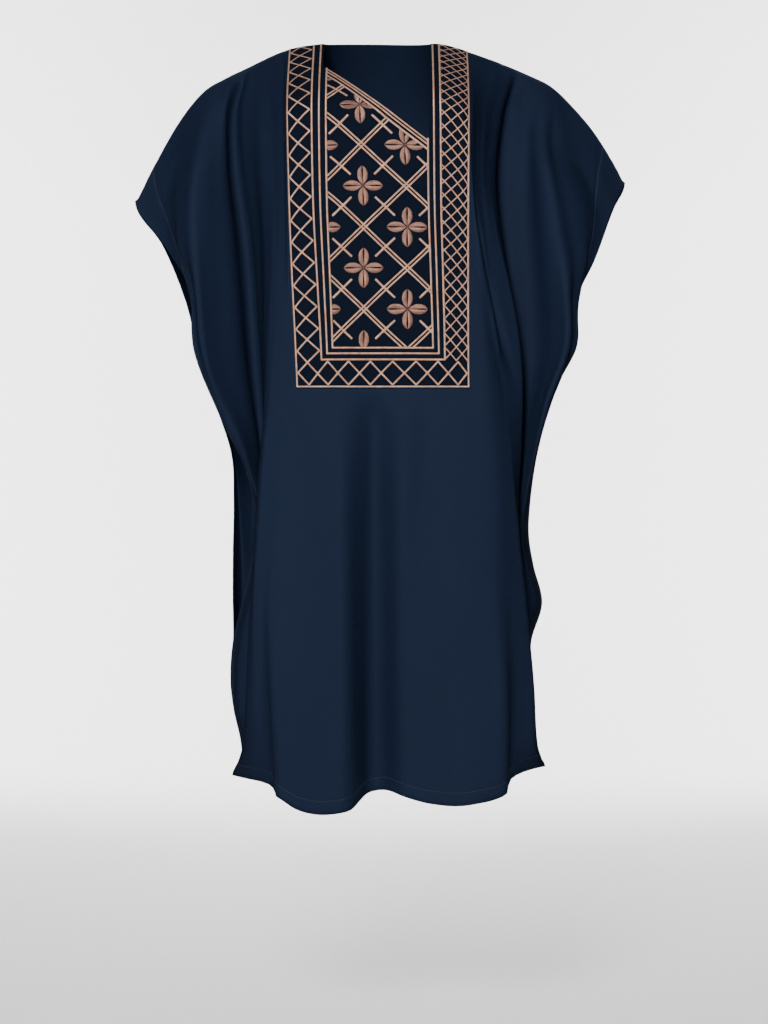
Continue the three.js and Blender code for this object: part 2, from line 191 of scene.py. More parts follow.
FRONT_FOLDS: tuple[Fold, ...] = (
    Fold("right opening", -470, -370, edge=True, rows=(
        (237, -370, 0), (316, -317, 45), (380, -281, 82), (467, -275, 95), (551, -243, 92),
        (645, -198, 75), (711, -186, 55), (775, -192, 38), (838, -207, 20), *RIGHT_SEAM,
    )),
    Fold("right wing crease", -432, -297, rows=(
        (180, -306, 34), (250, -305, 56), (310, -300, 70), (380, -276, 88), (467, -268, 98),
        (551, -240, 99), (645, -198, 82), (711, -183, 60), (800, -192, 38), (900, -215, 14),
        (1000, -217, 8), (1051, -208, 6), (1096, -212, 4),
    )),
    Fold("right sleeve drape", -385, -262, rows=(
        (150, -266, 66), (260, -272, 90), (380, -264, 100), (500, -248, 104), (600, -206, 94),
        (710, -178, 72), (800, -184, 50), (900, -206, 29), (1000, -212, 20), (1051, -203, 16),
        (1094, -206, 12),
    )),
    Fold("right deep pleat", -300, -205, rows=(
        (100, -217, 36), (180, -214, 40), (300, -198, 48), (450, -186, 54), (600, -175, 58),
        (710, -168, 58), (800, -174, 50), (900, -188, 44), (1000, -192, 42), (1051, -188, 40),
        (1096, -186, 38),
    )),
    Fold("right edge of the front's centre", -215, -168, crisp=True, rows=(
        (100, -161, 90), (300, -157, 114), (500, -167, 120), (700, -181, 118), (900, -193, 106),
        (1000, -198, 92), (1051, -202, 72), (1078, -210, 48), (1101, -220, 28),
    )),
    Fold("behind the right bend", -182, -152, rows=(
        (100, -150, 102), (300, -147, 123), (500, -154, 129), (700, -164, 129), (850, -172, 124),
        (1000, -168, 112), (1107, -161, 107),
    )),
    Fold("right bend", -166, -145, rows=(
        (100, -143, 110), (300, -139, 129), (500, -143, 134), (700, -152, 135), (850, -160, 134),
        (1000, -154, 131), (1122, -149, 127),
    )),
    Fold("plastron's right edge", -136, -137, rows=(
        (100, -137, 132), (300, -132, 136), (525, -122, 137), (800, -116, 138), (1142, -119, 137),
    )),
    Fold("right of the middle", -60, -60, rows=(
        (130, -60, 138), (525, -58, 140), (800, -55, 137), (1144, -52, 132),
    )),
    Fold("slope of the trough", -30, -30, rows=(
        (130, -30, 138), (525, -29, 139), (800, -28, 124), (1129, -27, 112),
    )),
    Fold("middle trough", 5, 5, rows=(
        (130, 5, 138), (525, 5, 139), (800, 5, 117), (1117, 5, 98),
    )),
    Fold("left of the middle", 70, 70, rows=(
        (130, 70, 138), (525, 72, 140), (800, 73, 134), (1134, 75, 126),
    )),
    Fold("plastron's left edge", 136, 132, rows=(
        (100, 131, 132), (300, 130, 136), (525, 131, 137), (800, 136, 139), (1133, 139, 137),
    )),
    Fold("left bend", 172, 144, rows=(
        (120, 139, 118), (213, 135, 128), (300, 141, 131), (500, 158, 134), (700, 170, 134),
        (870, 179, 133), (960, 185, 131), (1118, 184, 126),
    )),
    Fold("behind the left bend", 186, 151, rows=(
        (120, 142, 112), (213, 138, 121), (300, 145, 124), (500, 168, 128), (700, 182, 128),
        (870, 191, 122), (960, 195, 114), (1099, 193, 108),
    )),
    Fold("left edge of the front's centre", 218, 164, crisp=True, rows=(
        (120, 150, 100), (213, 147, 110), (298, 154, 114), (381, 164, 116), (572, 189, 118),
        (700, 201, 114), (837, 216, 106), (963, 228, 96), (1050, 234, 79), (1070, 239, 60),
        (1087, 248, 34),
    )),
    Fold("left crisp pleat", 265, 188, crisp=True, rows=(
        (120, 168, 80), (206, 160, 96), (282, 171, 103), (419, 201, 104), (500, 211, 100),
        (600, 211, 92), (700, 206, 80), (900, 219, 60), (1050, 218, 52), (1086, 218, 44),
    )),
    Fold("left deep pleat", 325, 218, rows=(
        (110, 208, 40), (200, 198, 46), (300, 199, 52), (400, 207, 56), (500, 212, 58),
        (600, 208, 58), (700, 203, 54), (800, 212, 46), (900, 213, 38), (1050, 210, 34),
        (1084, 208, 30),
    )),
    Fold("left sleeve drape", 395, 266, rows=(
        (150, 253, 64), (250, 260, 88), (380, 271, 99), (463, 272, 102), (550, 244, 99),
        (640, 225, 84), (740, 212, 56), (840, 233, 32), (910, 222, 25), (1000, 227, 18),
        (1055, 226, 14), (1086, 232, 10),
    )),
    Fold("left wing crease", 435, 292, rows=(
        (180, 297, 36), (252, 306, 56), (332, 305, 72), (400, 286, 86), (463, 282, 94),
        (540, 253, 96), (625, 230, 78), (700, 219, 52), (792, 227, 22), (844, 240, 16),
        (902, 226, 12), (1000, 231, 8), (1055, 233, 5), (1087, 240, 3),
    )),
    Fold("left opening", 470, 370, edge=True, rows=(
        (210, 370, 0), (252, 351, 22), (332, 320, 52), (385, 295, 72), (463, 291, 86),
        (513, 266, 88), (563, 247, 84), (625, 233, 66), (693, 225, 38), (741, 224, 16), *LEFT_SEAM,
    )),
)

BACK_FOLDS: tuple[Fold, ...] = (
    Fold("right opening", -470, -370, edge=True, rows=(
        (237, -370, 0), (300, -332, 34), (380, -300, 66), (460, -280, 84), (550, -250, 88),
        (620, -229, 82), (690, -225, 68), (760, -225, 48), (830, -224, 24), *RIGHT_SEAM,
    )),
    Fold("right sleeve drape", -390, -268, rows=(
        (150, -270, 58), (260, -278, 82), (400, -276, 96), (520, -256, 100), (620, -226, 98),
        (720, -216, 86), (820, -213, 68), (900, -216, 50), (960, -220, 38), (1010, -213, 28),
        (1060, -204, 22), (1106, -211, 18),
    )),
    Fold("right pleat", -300, -205, rows=(
        (110, -208, 46), (300, -204, 58), (500, -200, 62), (700, -186, 60), (900, -180, 62),
        (1114, -182, 66),
    )),
    Fold("right edge of the back's centre", -215, -162, rows=(
        (120, -160, 92), (300, -158, 112), (500, -162, 116), (750, -166, 116), (1122, -172, 112),
    )),
    Fold("right shoulder blade", -125, -112, rows=(
        (130, -114, 112), (300, -112, 126), (550, -108, 124), (800, -108, 128), (1130, -112, 136),
    )),
    Fold("right trough", -48, -48, rows=(
        (150, -48, 116), (350, -47, 120), (600, -44, 110), (850, -44, 100), (1122, -44, 96),
    )),
    Fold("middle of the back", 20, 20, rows=(
        (150, 20, 116), (350, 20, 121), (600, 22, 120), (850, 24, 124), (1130, 26, 130),
    )),
    Fold("left trough", 84, 78, rows=(
        (150, 78, 114), (350, 78, 123), (600, 82, 114), (850, 88, 106), (1124, 90, 102),
    )),
    Fold("left shoulder blade", 140, 122, rows=(
        (130, 122, 112), (300, 122, 125), (550, 124, 124), (800, 132, 126), (1128, 144, 132),
    )),
    Fold("left edge of the back's centre", 215, 166, rows=(
        (120, 164, 92), (300, 164, 110), (500, 170, 116), (750, 184, 114), (1114, 202, 108),
    )),
    Fold("left pleat", 300, 212, rows=(
        (110, 210, 46), (300, 206, 58), (500, 206, 62), (700, 196, 60), (900, 204, 58),
        (1104, 218, 56),
    )),
    Fold("left sleeve drape", 390, 272, rows=(
        (150, 268, 58), (260, 272, 82), (400, 278, 96), (500, 258, 98), (600, 232, 92),
        (700, 216, 74), (800, 222, 50), (860, 230, 44), (920, 222, 38), (1000, 226, 32),
        (1094, 236, 26),
    )),
    Fold("left opening", 470, 370, edge=True, rows=(
        (210, 370, 0), (260, 345, 26), (340, 308, 60), (420, 288, 82), (500, 264, 92),
        (563, 243, 88), (625, 229, 70), (693, 222, 42), (741, 221, 18), *LEFT_SEAM,
    )),
)


def eased(share: Array) -> Array:
    """A share from 0 to 1 that starts and ends level."""
    return share * share * (3 - 2 * share)


class Spline:
    """A smooth curve through values at rising positions, level beyond both ends."""

    def __init__(self, positions: Sequence[float], values: Array) -> None:
        """Fits the curve.

        Args:
            positions: Where the values are, rising.
            values: The values, with positions along the last axis.
        """
        self.positions = np.asarray(positions, float)
        self.values = np.asarray(values, float)
        secants = np.diff(self.values, axis=-1) / np.diff(self.positions)
        inner = (secants[..., 1:] + secants[..., :-1]) / 2
        level = np.zeros((*self.values.shape[:-1], 1))
        self.slopes = np.concatenate([level, inner, level], axis=-1)

    def __call__(self, at: Array) -> Array:
        """Evaluates the curve.

        Args:
            at: Positions, one axis.

        Returns:
            The values there, with the positions along the last axis.
        """
        x = self.positions
        at = np.clip(np.asarray(at, float), x[0], x[-1])
        i = np.clip(np.searchsorted(x, at, side="right") - 1, 0, len(x) - 2)
        d = x[i + 1] - x[i]
        p = (at - x[i]) / d
        low, high = self.values[..., i], self.values[..., i + 1]
        rise = eased(p)
        bend = (p**3 - 2 * p**2 + p) * self.slopes[..., i]
        bend = bend + (p**3 - p**2) * self.slopes[..., i + 1]
        return low + (high - low) * rise + bend * d


@dataclass(frozen=True)
class Ripple:
    """One layer of the small unevenness of hanging cloth, in millimetres.

    Args:
        across: Distance between ripples across the cloth.
        down: Distance between them down it.
        height: How far they stand out.
        seed: Start of the fixed random pattern.
        cells: Size of the pattern, after which it repeats.
        origin: Place in the pattern of the cloth's centre line at the shoulder.
    """

    across: float
    down: float
    height: float
    seed: int
    cells: tuple[int, int] = (64, 64)
    origin: tuple[float, float] = (24.3, 3.7)

    def at(self, u: Array, v: Array) -> Array:
        """Height of the ripples.

        Args:
            u: Places across the cloth.
            v: Distances down it, same shape.

        Returns:
            Heights, same shape.
        """
        pattern = np.random.default_rng(self.seed).uniform(-1, 1, self.cells)
        a, b = u / self.across + self.origin[0], v / self.down + self.origin[1]
        i, j = np.floor(a).astype(int), np.floor(b).astype(int)
        p, q = eased(a - i), eased(b - j)

        def corner(di: int, dj: int) -> Array:
            """The pattern at one corner of every point's cell."""
            return pattern[(i + di) % self.cells[0], (j + dj) % self.cells[1]]

        top = corner(0, 0) * (1 - p) + corner(1, 0) * p
        bottom = corner(0, 1) * (1 - p) + corner(1, 1) * p
        return self.height * (top * (1 - q) + bottom * q)


@dataclass(frozen=True)
class Crease:
    """A soft drag line in the cloth, in millimetres along the cloth.

    Args:
        start: Where it begins, as (across, down the cloth).
        end: Where it ends.
        width: Its half width.
        height: How far it stands out, negative for a hollow.
        end_rise: How steeply it grows from its ends, along its whole length.
    """

    start: tuple[float, float]
    end: tuple[float, float]
    width: float
    height: float
    end_rise: float = 3.2

    def at(self, u: Array, v: Array) -> Array:
        """Height of the crease.

        Args:
            u: Places across the cloth.
            v: Distances down it, same shape.

        Returns:
            Heights, same shape.
        """
        start, end = np.array(self.start), np.array(self.end)
        run = end - start
        length = math.hypot(*run)
        along = ((u - start[0]) * run[0] + (v - start[1]) * run[1]) / length**2
        aside = ((u - start[0]) * run[1] - (v - start[1]) * run[0]) / length
        fade = eased(np.clip(np.minimum(along, 1 - along) * self.end_rise, 0, 1))
        return self.height * fade * np.exp(-((aside / self.width) ** 2))


@dataclass(frozen=True)
class Relief:
    """The small unevenness of one sheet.

    Args:
        ripples: Its layers.
        creases: Its drag lines.
        seam_fade: Distance from a seam over which it grows to its full height.
        chest_share: Share of it that stays under the stiff embroidery.
        edge_share: Share of the seam's distance over which it grows from a free edge.
        chest_fade: Distances beside and below the embroidery over which it grows back.
    """

    ripples: tuple[Ripple, ...]
    creases: tuple[Crease, ...] = ()
    seam_fade: float = 45.0
    chest_share: float = 1.0
    edge_share: float = 0.7
    chest_fade: tuple[float, float] = (25.0, 30.0)

    def at(self, u: Array, v: Array, edge: float, chest: tuple[float, float]) -> Array:
        """Height of the relief.

        Args:
            u: Places across the cloth.
            v: Distances down it, same shape.
            edge: Place of the outer edges, counted from the centre.
            chest: Half width and lower edge of the embroidered part.

        Returns:
            Heights, same shape, along the normal.
        """
        height = sum(layer.at(u, v) for layer in (*self.ripples, *self.creases))
        from_seam = np.clip(v / self.seam_fade, 0, 1)
        from_edge = np.clip((edge - np.abs(u)) / (self.seam_fade * self.edge_share), 0, 1)
        past_side = np.clip((np.abs(u) - chest[0]) / self.chest_fade[0], 0, 1)
        past_foot = np.clip((v - chest[1]) / self.chest_fade[1], 0, 1)
        free = np.maximum(past_side, past_foot)
        share = self.chest_share + (1 - self.chest_share) * free
        return height * from_seam * from_edge * share


class HangingSheet:
    """The front or the back of the robe as it hangs, as a grid of points.

    A place seen from the front is found along the cloth in a few passes, within the half width
    of it that faces forwards, in millimetres.
    """

    facing_half: float = 200.0
    passes: int = 4

    def __init__(
        self,
        side: Side,
        folds: tuple[Fold, ...],
        relief: Relief,
        sizes: RobeSizes,
        neck: NeckSizes,
        grid: GridSizes,
    ) -> None:
        """Hangs the sheet.

        Args:
            side: Front or back.
            folds: Its folds from the wearer's right to the left.
            relief: Its small unevenness.
            sizes: The robe's sizes.
            neck: The neck opening's sizes.
            grid: How fine the grid is.
        """
        self.side, self.folds, self.sizes, self.neck = side, folds, sizes, neck
        self.rows = self._rows(grid)
        self.places = self._places(grid)
        self.points = self._hang()
        if side is Side.BACK:
            self._hollow_nape()
        steps = np.linalg.norm(np.diff(self.points, axis=0), axis=2)
        self.lengths = np.vstack([np.zeros(len(self.places)), np.cumsum(steps, axis=0)])
        middle = int(np.argmin(np.abs(self.places)))
        self.drops = self.lengths[:, middle]
        self.chest_length = float(self.drops[grid.rows_above])
        self.normals = self._normals()
        u = np.broadcast_to(self.places, self.lengths.shape)
        v = np.broadcast_to(self.drops[:, None], self.lengths.shape)
        chest = (sizes.stiff_half, self.chest_length + sizes.stiff_below)
        height = relief.at(u, v, float(self.places[-1]), chest)
        self.points = self.points + self.normals * height[..., None]
        self.normals = self._normals()

    def _rows(self, grid: GridSizes) -> Array:
        """Shares of the way to the plastron's edge, and on to the hem, for each row.

        Args:
            grid: How fine the grid is.

        Returns:
            One pair of shares per row.
        """
        above = (np.arange(grid.rows_above) / grid.rows_above) ** grid.top_power
        below = np.arange(grid.rows_below + 1) / grid.rows_below
        shares = np.zeros((len(above) + len(below), 2))
        shares[: len(above), 0] = above
        shares[len(above) :, 0] = 1
        shares[len(above) :, 1] = below
        return shares

    def _places(self, grid: GridSizes) -> Array:
        """Places of the grid's columns across the cloth.

        Args:
            grid: How fine the grid is.

        Returns:
            The places, from the wearer's right to the left, with every fold's among them.
        """
        stops = [fold.across for fold in self.folds]
        places: list[float] = []
        for start, end in zip(stops, stops[1:]):
            count = max(2, round((end - start) / grid.column_step))
            places.extend(np.linspace(start, end, count, endpoint=False))
        return np.array([*places, stops[-1]])

    def _down(self, seam_down: Array, hem_down: Array) -> Array:
        """Depth of every row, between each column's shoulder seam and its hem.

        Args:
            seam_down: Depth of the seam in each column.
            hem_down: Depth of the hem in each column.

        Returns:
            Depths below the neck, by row and column.
        """
        middle = self.sizes.plastron_down
        above = (middle - seam_down) * self.rows[:, :1]
        return seam_down + above + (hem_down - middle) * self.rows[:, 1:]

    def _reach_after(self, drop: Array) -> Array:
        """Share of its full reach that the cloth has after a drop below the seam."""
        left = 1 - np.clip(drop / self.sizes.chest_drop, 0, 1)
        return 1 - left**self.sizes.chest_power

    def _hang(self) -> Array:
        """The grid's points, before the nape and the relief.

        Returns:
            The points by row and column, in millimetres.
        """
        shoulder = Spline(*zip(*SHOULDER))
        across = [fold.across for fold in self.folds]
        seam_outs = np.array([fold.seam_out for fold in self.folds], float)
        seam_downs = shoulder(seam_outs)
        hems = np.array([fold.rows[-1][0] for fold in self.folds], float)
        downs = self._down(seam_downs, hems)
        out, away = np.zeros_like(downs), np.zeros_like(downs)
        for i, fold in enumerate(self.folds):
            at, outs, aways = (np.array(column, float) for column in zip(*fold.rows))
            reach = Spline(at, aways)(downs[:, i])
            if fold.edge:
                out[:, i] = Spline(at, outs)(downs[:, i])
                away[:, i] = np.maximum(reach, 0)
                continue
            from_seam = Spline([seam_downs[i], *at], np.array([fold.seam_out, *outs]))
            out[:, i] = from_seam(downs[:, i])
            away[:, i] = reach * self._reach_after(downs[:, i] - seam_downs[i])
        seam_out = Spline(across, seam_outs)(self.places)
        hem = Spline(across, hems)(self.places)
        down = self._down(shoulder(seam_out), hem)
        x = self._across(across, out)
        y = self._across(across, away) * self.side.value
        return np.stack([x, y, -down], axis=2)

    def _across(self, across: list[float], values: Array) -> Array:
        """Runs a smooth section through the folds, bent sharply at the crisp ones.

        Args:
            across: Place of each fold across the cloth.
            values: The folds' values, by row and fold.

        Returns:
            The values in every column.
        """
        stops, columns = [], []
        reach = self.sizes.crisp_reach
        for i, fold in enumerate(self.folds):
            here = values[:, i]
            for step in (-1, 0, 1):
                if step == 0:
                    stops.append(fold.across)
                    columns.append(here)
                elif fold.crisp:
                    gap = abs(across[i + step] - fold.across)
                    stops.append(fold.across + step * reach)
                    columns.append(here + (values[:, i + step] - here) * reach / gap)
        return Spline(stops, np.stack(columns, axis=1))(self.places)

    def _hollow_nape(self) -> None:
        """Moves the back's first rows behind and above the line between the seams."""
        out = self.points[0, :, 0]
        half = np.where(out < 0, self.neck.out_right, self.neck.out_left)
        hollow = np.sqrt(np.clip(1 - (out / half) ** 2, 0, None))
        drop = self.points[0, :, 2] - self.points[:, :, 2]
        left = 1 - self._reach_after(drop)
        self.points[:, :, 1] += self.sizes.nape_back * hollow * left
        self.points[:, :, 2] += self.sizes.nape_up * hollow * left

    def _normals(self) -> Array:
        """Unit normals of the grid, pointing out of the robe.

        Returns:
            The normals by row and column.
        """
        along = np.gradient(self.points, axis=1)
        down = np.gradient(self.points, axis=0)
        normals = np.cross(along, down) * self.side.value
        return normals / np.linalg.norm(normals, axis=2, keepdims=True)

    def at(self, u: Array, v: Array, lift: Array | float) -> tuple[Array, Array]:
        """Points on the sheet.

        Args:
            u: Places across the cloth.
            v: Distances down it from the shoulder seam.
            lift: How far off the sheet, outwards.

        Returns:
            The points and the sheet's normals there, one row each.
        """
        column = np.interp(u, self.places, np.arange(len(self.places)))
        row = np.interp(v, self.drops, np.arange(len(self.drops)))
        r = np.clip(row.astype(int), 0, len(self.drops) - 2)
        c = np.clip(column.astype(int), 0, len(self.places) - 2)
        p, q = (row - r)[:, None], (column - c)[:, None]

        def blend(grid: Array) -> Array:
            """The grid's values at the points.

            Args:
                grid: Points or normals by row and column.

            Returns:
                One row per point, weighted between the four corners round it.
            """
            top = grid[r, c] * (1 - q) + grid[r, c + 1] * q
            bottom = grid[r + 1, c] * (1 - q) + grid[r + 1, c + 1] * q
            return top * (1 - p) + bottom * p

        normals = blend(self.normals)
        normals /= np.linalg.norm(normals, axis=1, keepdims=True)
        lifts = np.broadcast_to(np.asarray(lift, float), row.shape)[:, None]
        return blend(self.points) + normals * lifts, normals

    def flat_of(self, out: float, down: float) -> tuple[float, float]:
        """Where a point seen from the front lies along the cloth.

        Args:
            out: Its distance out.
            down: Its depth below the neck.

        Returns:
            Its place across the cloth and its distance down it.
        """
        row, column = 0.0, float(np.argmin(np.abs(self.points[0, :, 0] - out)))
        every_row, every_column = np.arange(len(self.drops)), np.arange(len(self.places))
        for _ in range(self.passes):
            c = min(int(column), len(self.places) - 2)
            depth = -(
                self.points[:, c, 2] * (c + 1 - column)
                + self.points[:, c + 1, 2] * (column - c)
            )
            row = float(np.interp(down, depth, every_row))
            r = min(int(row), len(self.drops) - 2)
            outs = (
                self.points[r, :, 0] * (r + 1 - row)
                + self.points[r + 1, :, 0] * (row - r)
            )
            near = np.abs(self.places) < self.facing_half
            column = float(np.interp(out, outs[near], every_column[near]))
        return (
            float(np.interp(column, every_column, self.places)),
            float(np.interp(row, every_row, self.drops)),
        )

    def developed(self) -> tuple[float, float, float]:
        """The sheet's size before it was hung.

        Returns:
            Greatest width, greatest length and area, in metres and square metres.
        """
        widths = np.linalg.norm(np.diff(self.points, axis=1), axis=2).sum(axis=1)
        cross = np.cross(
            self.points[1:, :-1] - self.points[:-1, :-1],
            self.points[:-1, 1:] - self.points[:-1, :-1],
        )
        area = float(np.linalg.norm(cross, axis=2).sum())
        return (
            float(widths.max()) * MM,
            float(self.lengths[-1].max()) * MM,
            area * MM * MM,
        )


class NodeBuilder:
    """Adds and links nodes in one node tree."""

    def __init__(self, tree: bpy.types.NodeTree) -> None:
        """Starts on an empty tree.

        Args:
            tree: The tree to fill.
        """
        self.tree = tree
        tree.nodes.clear()

    def add(
        self,
        kind: str,
        inputs: dict[str | int, object] | None = None,
        **settings: object,
    ) -> bpy.types.Node:
        """Adds a node.

        Args:
            kind: Blender's name of the node type.
            inputs: Values, or sockets to link from, by input name or number.
            **settings: The node's own properties.

        Returns:
            The node.
        """
        node = self.tree.nodes.new(kind)
        for name, value in settings.items():
            setattr(node, name, value)
        for key, value in (inputs or {}).items():
            socket = node.inputs[key]
            if isinstance(value, bpy.types.NodeSocket):
                self.tree.links.new(value, socket)
            else:
                socket.default_value = value
        return node

    def math(self, operation: str, *values: object) -> bpy.types.NodeSocket:
        """Adds a maths node.

        Args:
            operation: Its operation.
            *values: Numbers or sockets.

        Returns:
            Its result.
        """
        inputs = dict(enumerate(values))
        return self.add("ShaderNodeMath", inputs, operation=operation).outputs[0]


class Finish:
    """A surface that one principled shader makes."""

    name: str

    def inputs(self, nodes: NodeBuilder) -> dict[str | int, object]:
        """What the shader is given, with the nodes that this takes.

        Args:
            nodes: The material's nodes.

        Returns:
            Values, or sockets to link from, by input name.
        """
        raise NotImplementedError

    def build(self) -> bpy.types.Material:
        """Makes the material.

        Returns:
            The material.
        """
        material = bpy.data.materials.new(self.name)
        material.use_nodes = True
        nodes = NodeBuilder(material.node_tree)
        shader = nodes.add("ShaderNodeBsdfPrincipled", self.inputs(nodes))
        nodes.add("ShaderNodeOutputMaterial", {"Surface": shader.outputs["BSDF"]})
        return material


@dataclass(frozen=True)
class ClothFinish(Finish):
    """A woven wool-like suiting, with UV in metres along the cloth.

    Args:
        name: The material's name.
        color: Base colour, linear.
        thread: Width of one yarn, in millimetres.
        weave: Depth of the weave in the bump.
        roughness: Of the cloth's surface.
        gloss: Level of its soft gloss.
        gloss_color: Colour of that gloss.
        mottle: How much the colour varies from place to place.
        hem: Depth of the turned hem along the free edges, in millimetres, or 0 for none.
        hem_fall: Distance over which the turned cloth ends, in millimetres.
        stitch_in: How far its stitching lies inside that line.
        stitch_half: Half width of the hollow along the stitching.
        slubs: Scale of the uneven yarns, over a metre.
        patches: Scale of the mottle, over a metre.
        weave_depth: Depth of the weave at full strength, in metres.
        hem_depth: Depth of the hem's relief at full strength, in metres.
        hem_strength: Its strength.
    """

    name: str
    color: tuple[float, float, float]
    thread: float
    weave: float
    roughness: float
    gloss: float
    gloss_color: tuple[float, float, float]
    mottle: float
    hem: float = 0.0
    hem_fall: float = 2.0
    stitch_in: float = 1.0
    stitch_half: float = 1.6
    slubs: float = 900.0
    patches: float = 7.0
    weave_depth: float = 0.00012
    hem_depth: float = 0.0009
    hem_strength: float = 0.8

    def inputs(self, nodes: NodeBuilder) -> dict[str | int, object]:
        """The weave, the turned hem and the mottled colour.

        Args:
            nodes: The material's nodes.

        Returns:
            The shader's inputs.
        """
        uv = nodes.add("ShaderNodeUVMap", uv_map="cloth").outputs["UV"]
        axes = nodes.add("ShaderNodeSeparateXYZ", {"Vector": uv}).outputs
        turns = 2 * math.pi / (self.thread * 2 * MM)
        warp = nodes.math("SINE", nodes.math("MULTIPLY", axes["X"], turns))
        weft = nodes.math("SINE", nodes.math("MULTIPLY", axes["Y"], turns))
        twill_at = nodes.math("ADD", axes["X"], axes["Y"])
        twill = nodes.math("SINE", nodes.math("MULTIPLY", twill_at, turns / 2))
        weave = nodes.math("ADD", nodes.math("MULTIPLY", warp, weft), twill)
        slub = nodes.add("ShaderNodeTexNoise", {"Vector": uv, "Scale": self.slubs, "Detail": 3.0})
        height = nodes.math("ADD", weave, slub.outputs["Fac"])
        relief = {"Strength": self.weave, "Distance": self.weave_depth, "Height": height}
        bump = nodes.add("ShaderNodeBump", relief)
        if self.hem:
            from_edge = nodes.add("ShaderNodeAttribute", attribute_name="from_edge").outputs["Fac"]
            relief = {
                "Strength": self.hem_strength,
                "Distance": self.hem_depth,
                "Height": self._hem_height(nodes, from_edge),
                "Normal": bump.outputs["Normal"],
            }
            bump = nodes.add("ShaderNodeBump", relief)
        mottle = {"Vector": uv, "Scale": self.patches, "Detail": 4.0}
        patches = nodes.add("ShaderNodeTexNoise", mottle).outputs["Fac"]
        spread = {"Value": patches, "To Min": 1 - self.mottle, "To Max": 1 + self.mottle}
        shade = nodes.add("ShaderNodeMapRange", spread).outputs["Result"]
        scaled = {0: self.color, "Scale": shade}
        color = nodes.add("ShaderNodeVectorMath", scaled, operation="SCALE")
        return {
            "Base Color": color.outputs["Vector"],
            "Roughness": self.roughness,
            "Specular IOR Level": self.gloss,
            "Specular Tint": (*self.gloss_color, 1.0),
            "Normal": bump.outputs["Normal"],
        }

    def _hem_height(
        self, nodes: NodeBuilder, from_edge: bpy.types.NodeSocket
    ) -> bpy.types.NodeSocket:
        """Height of the turned hem: double cloth at the edge, drawn in along its stitching.

        Args:
            nodes: The material's nodes.
            from_edge: Distance from the nearest free edge, in metres.

        Returns:
            The height, for a bump.
        """
        line = self.hem * MM
        double = nodes.add(
            "ShaderNodeMapRange",
            {
                "Value": from_edge,
                "From Min": line,
                "From Max": line + self.hem_fall * MM,
                "To Min": 0.5,
                "To Max": 0.0,
            },
            interpolation_type="SMOOTHSTEP",
        ).outputs["Result"]
        beyond = nodes.math("SUBTRACT", from_edge, line - self.stitch_in * MM)
        off = nodes.math("DIVIDE", beyond, self.stitch_half * MM)
        square = nodes.math("MULTIPLY", nodes.math("MULTIPLY", off, off), -1.0)
        return nodes.math("SUBTRACT", double, nodes.math("EXPONENT", square))


@dataclass(frozen=True)
class ThreadFinish(Finish):
    """A lustrous thread, with painted shade on random lengths of it.

    Args:
        name: The material's name.
        color: Base colour, linear.
        shade: Painted shade, linear: the darker colour that random lengths of the thread take,
            standing in for the stretches that its sheen leaves dark.
        roughness: Of its surface.
        metallic: How metallic its lustre is.
        sheen: Of its loose fibres.
        lengths: Scale of the lengths with painted shade, over a metre.
    """

    name: str
    color: tuple[float, float, float]
    shade: tuple[float, float, float]
    roughness: float
    metallic: float
    sheen: float = 0.25
    lengths: float = 160.0

    def inputs(self, nodes: NodeBuilder) -> dict[str | int, object]:
        """The thread's colour with painted shade on random lengths of it, and its lustre.

        Args:
            nodes: The material's nodes.

        Returns:
            The shader's inputs.
        """
        place = nodes.add("ShaderNodeTexCoord").outputs["Object"]
        noise = {"Vector": place, "Scale": self.lengths, "Detail": 2.0}
        lengths = nodes.add("ShaderNodeTexNoise", noise).outputs["Fac"]
        # Noise mixes the thread's colour with painted shade: dark stretches standing in for those
        # its sheen gives.
        colour_and_painted_shade = {"Factor": lengths, "A": (*self.color, 1), "B": (*self.shade, 1)}
        mix = nodes.add("ShaderNodeMix", colour_and_painted_shade, data_type="RGBA")
        return {
            "Base Color": mix.outputs["Result"],
            "Roughness": self.roughness,
            "Metallic": self.metallic,
            "Sheen Weight": self.sheen,
        }


@dataclass(frozen=True)
class PlainFinish(Finish):
    """A plain matt surface of the studio.

    Args:
        name: The material's name.
        color: Base colour, linear.
        roughness: Of its surface.
        gloss: Level of its gloss.
    """

    name: str
    color: tuple[float, float, float]
    roughness: float = 0.9
    gloss: float = 0.1

    def inputs(self, nodes: NodeBuilder) -> dict[str | int, object]:
        """The colour and the little gloss that it has.

        Args:
            nodes: The material's nodes, to which this adds none.

        Returns:
            The shader's inputs.
        """
        return {
            "Base Color": (*self.color, 1.0),
            "Roughness": self.roughness,
            "Specular IOR Level": self.gloss,
        }


def placed(name: str, data: bpy.types.ID) -> bpy.types.Object:
    """Puts an object into the scene.

    Args:
        name: Its name.
        data: Its mesh, lamp or camera.

    Returns:
        The object, at the origin.
    """
    item = bpy.data.objects.new(name, data)
    bpy.context.scene.collection.objects.link(item)
    return item


def store(mesh: bpy.types.Mesh, name: str, values: Array) -> None:
    """Keeps a number or a vector for every point of a mesh.

    Args:
        mesh: The mesh.
        name: What they are called there.
        values: One number, or one row of three, per point.
    """
    kind, field = ("FLOAT", "value") if values.ndim == 1 else ("FLOAT_VECTOR", "vector")
    data = mesh.attributes.new(name, kind, "POINT").data
    data.foreach_set(field, values.astype(np.float32).ravel())


def link_mesh(name: str, mesh: bpy.types.Mesh, material: bpy.types.Material) -> bpy.types.Object:
    """Puts a mesh into the scene.

    Args:
        name: The piece's name.
        mesh: Its mesh, in metres.
        material: Its only material.

    Returns:
        The object, at the origin.
    """
    mesh.materials.clear()
    mesh.materials.append(material)
    mesh.shade_smooth()
    LOG.info("%s: %d faces", name, len(mesh.polygons))
    return placed(name, mesh)


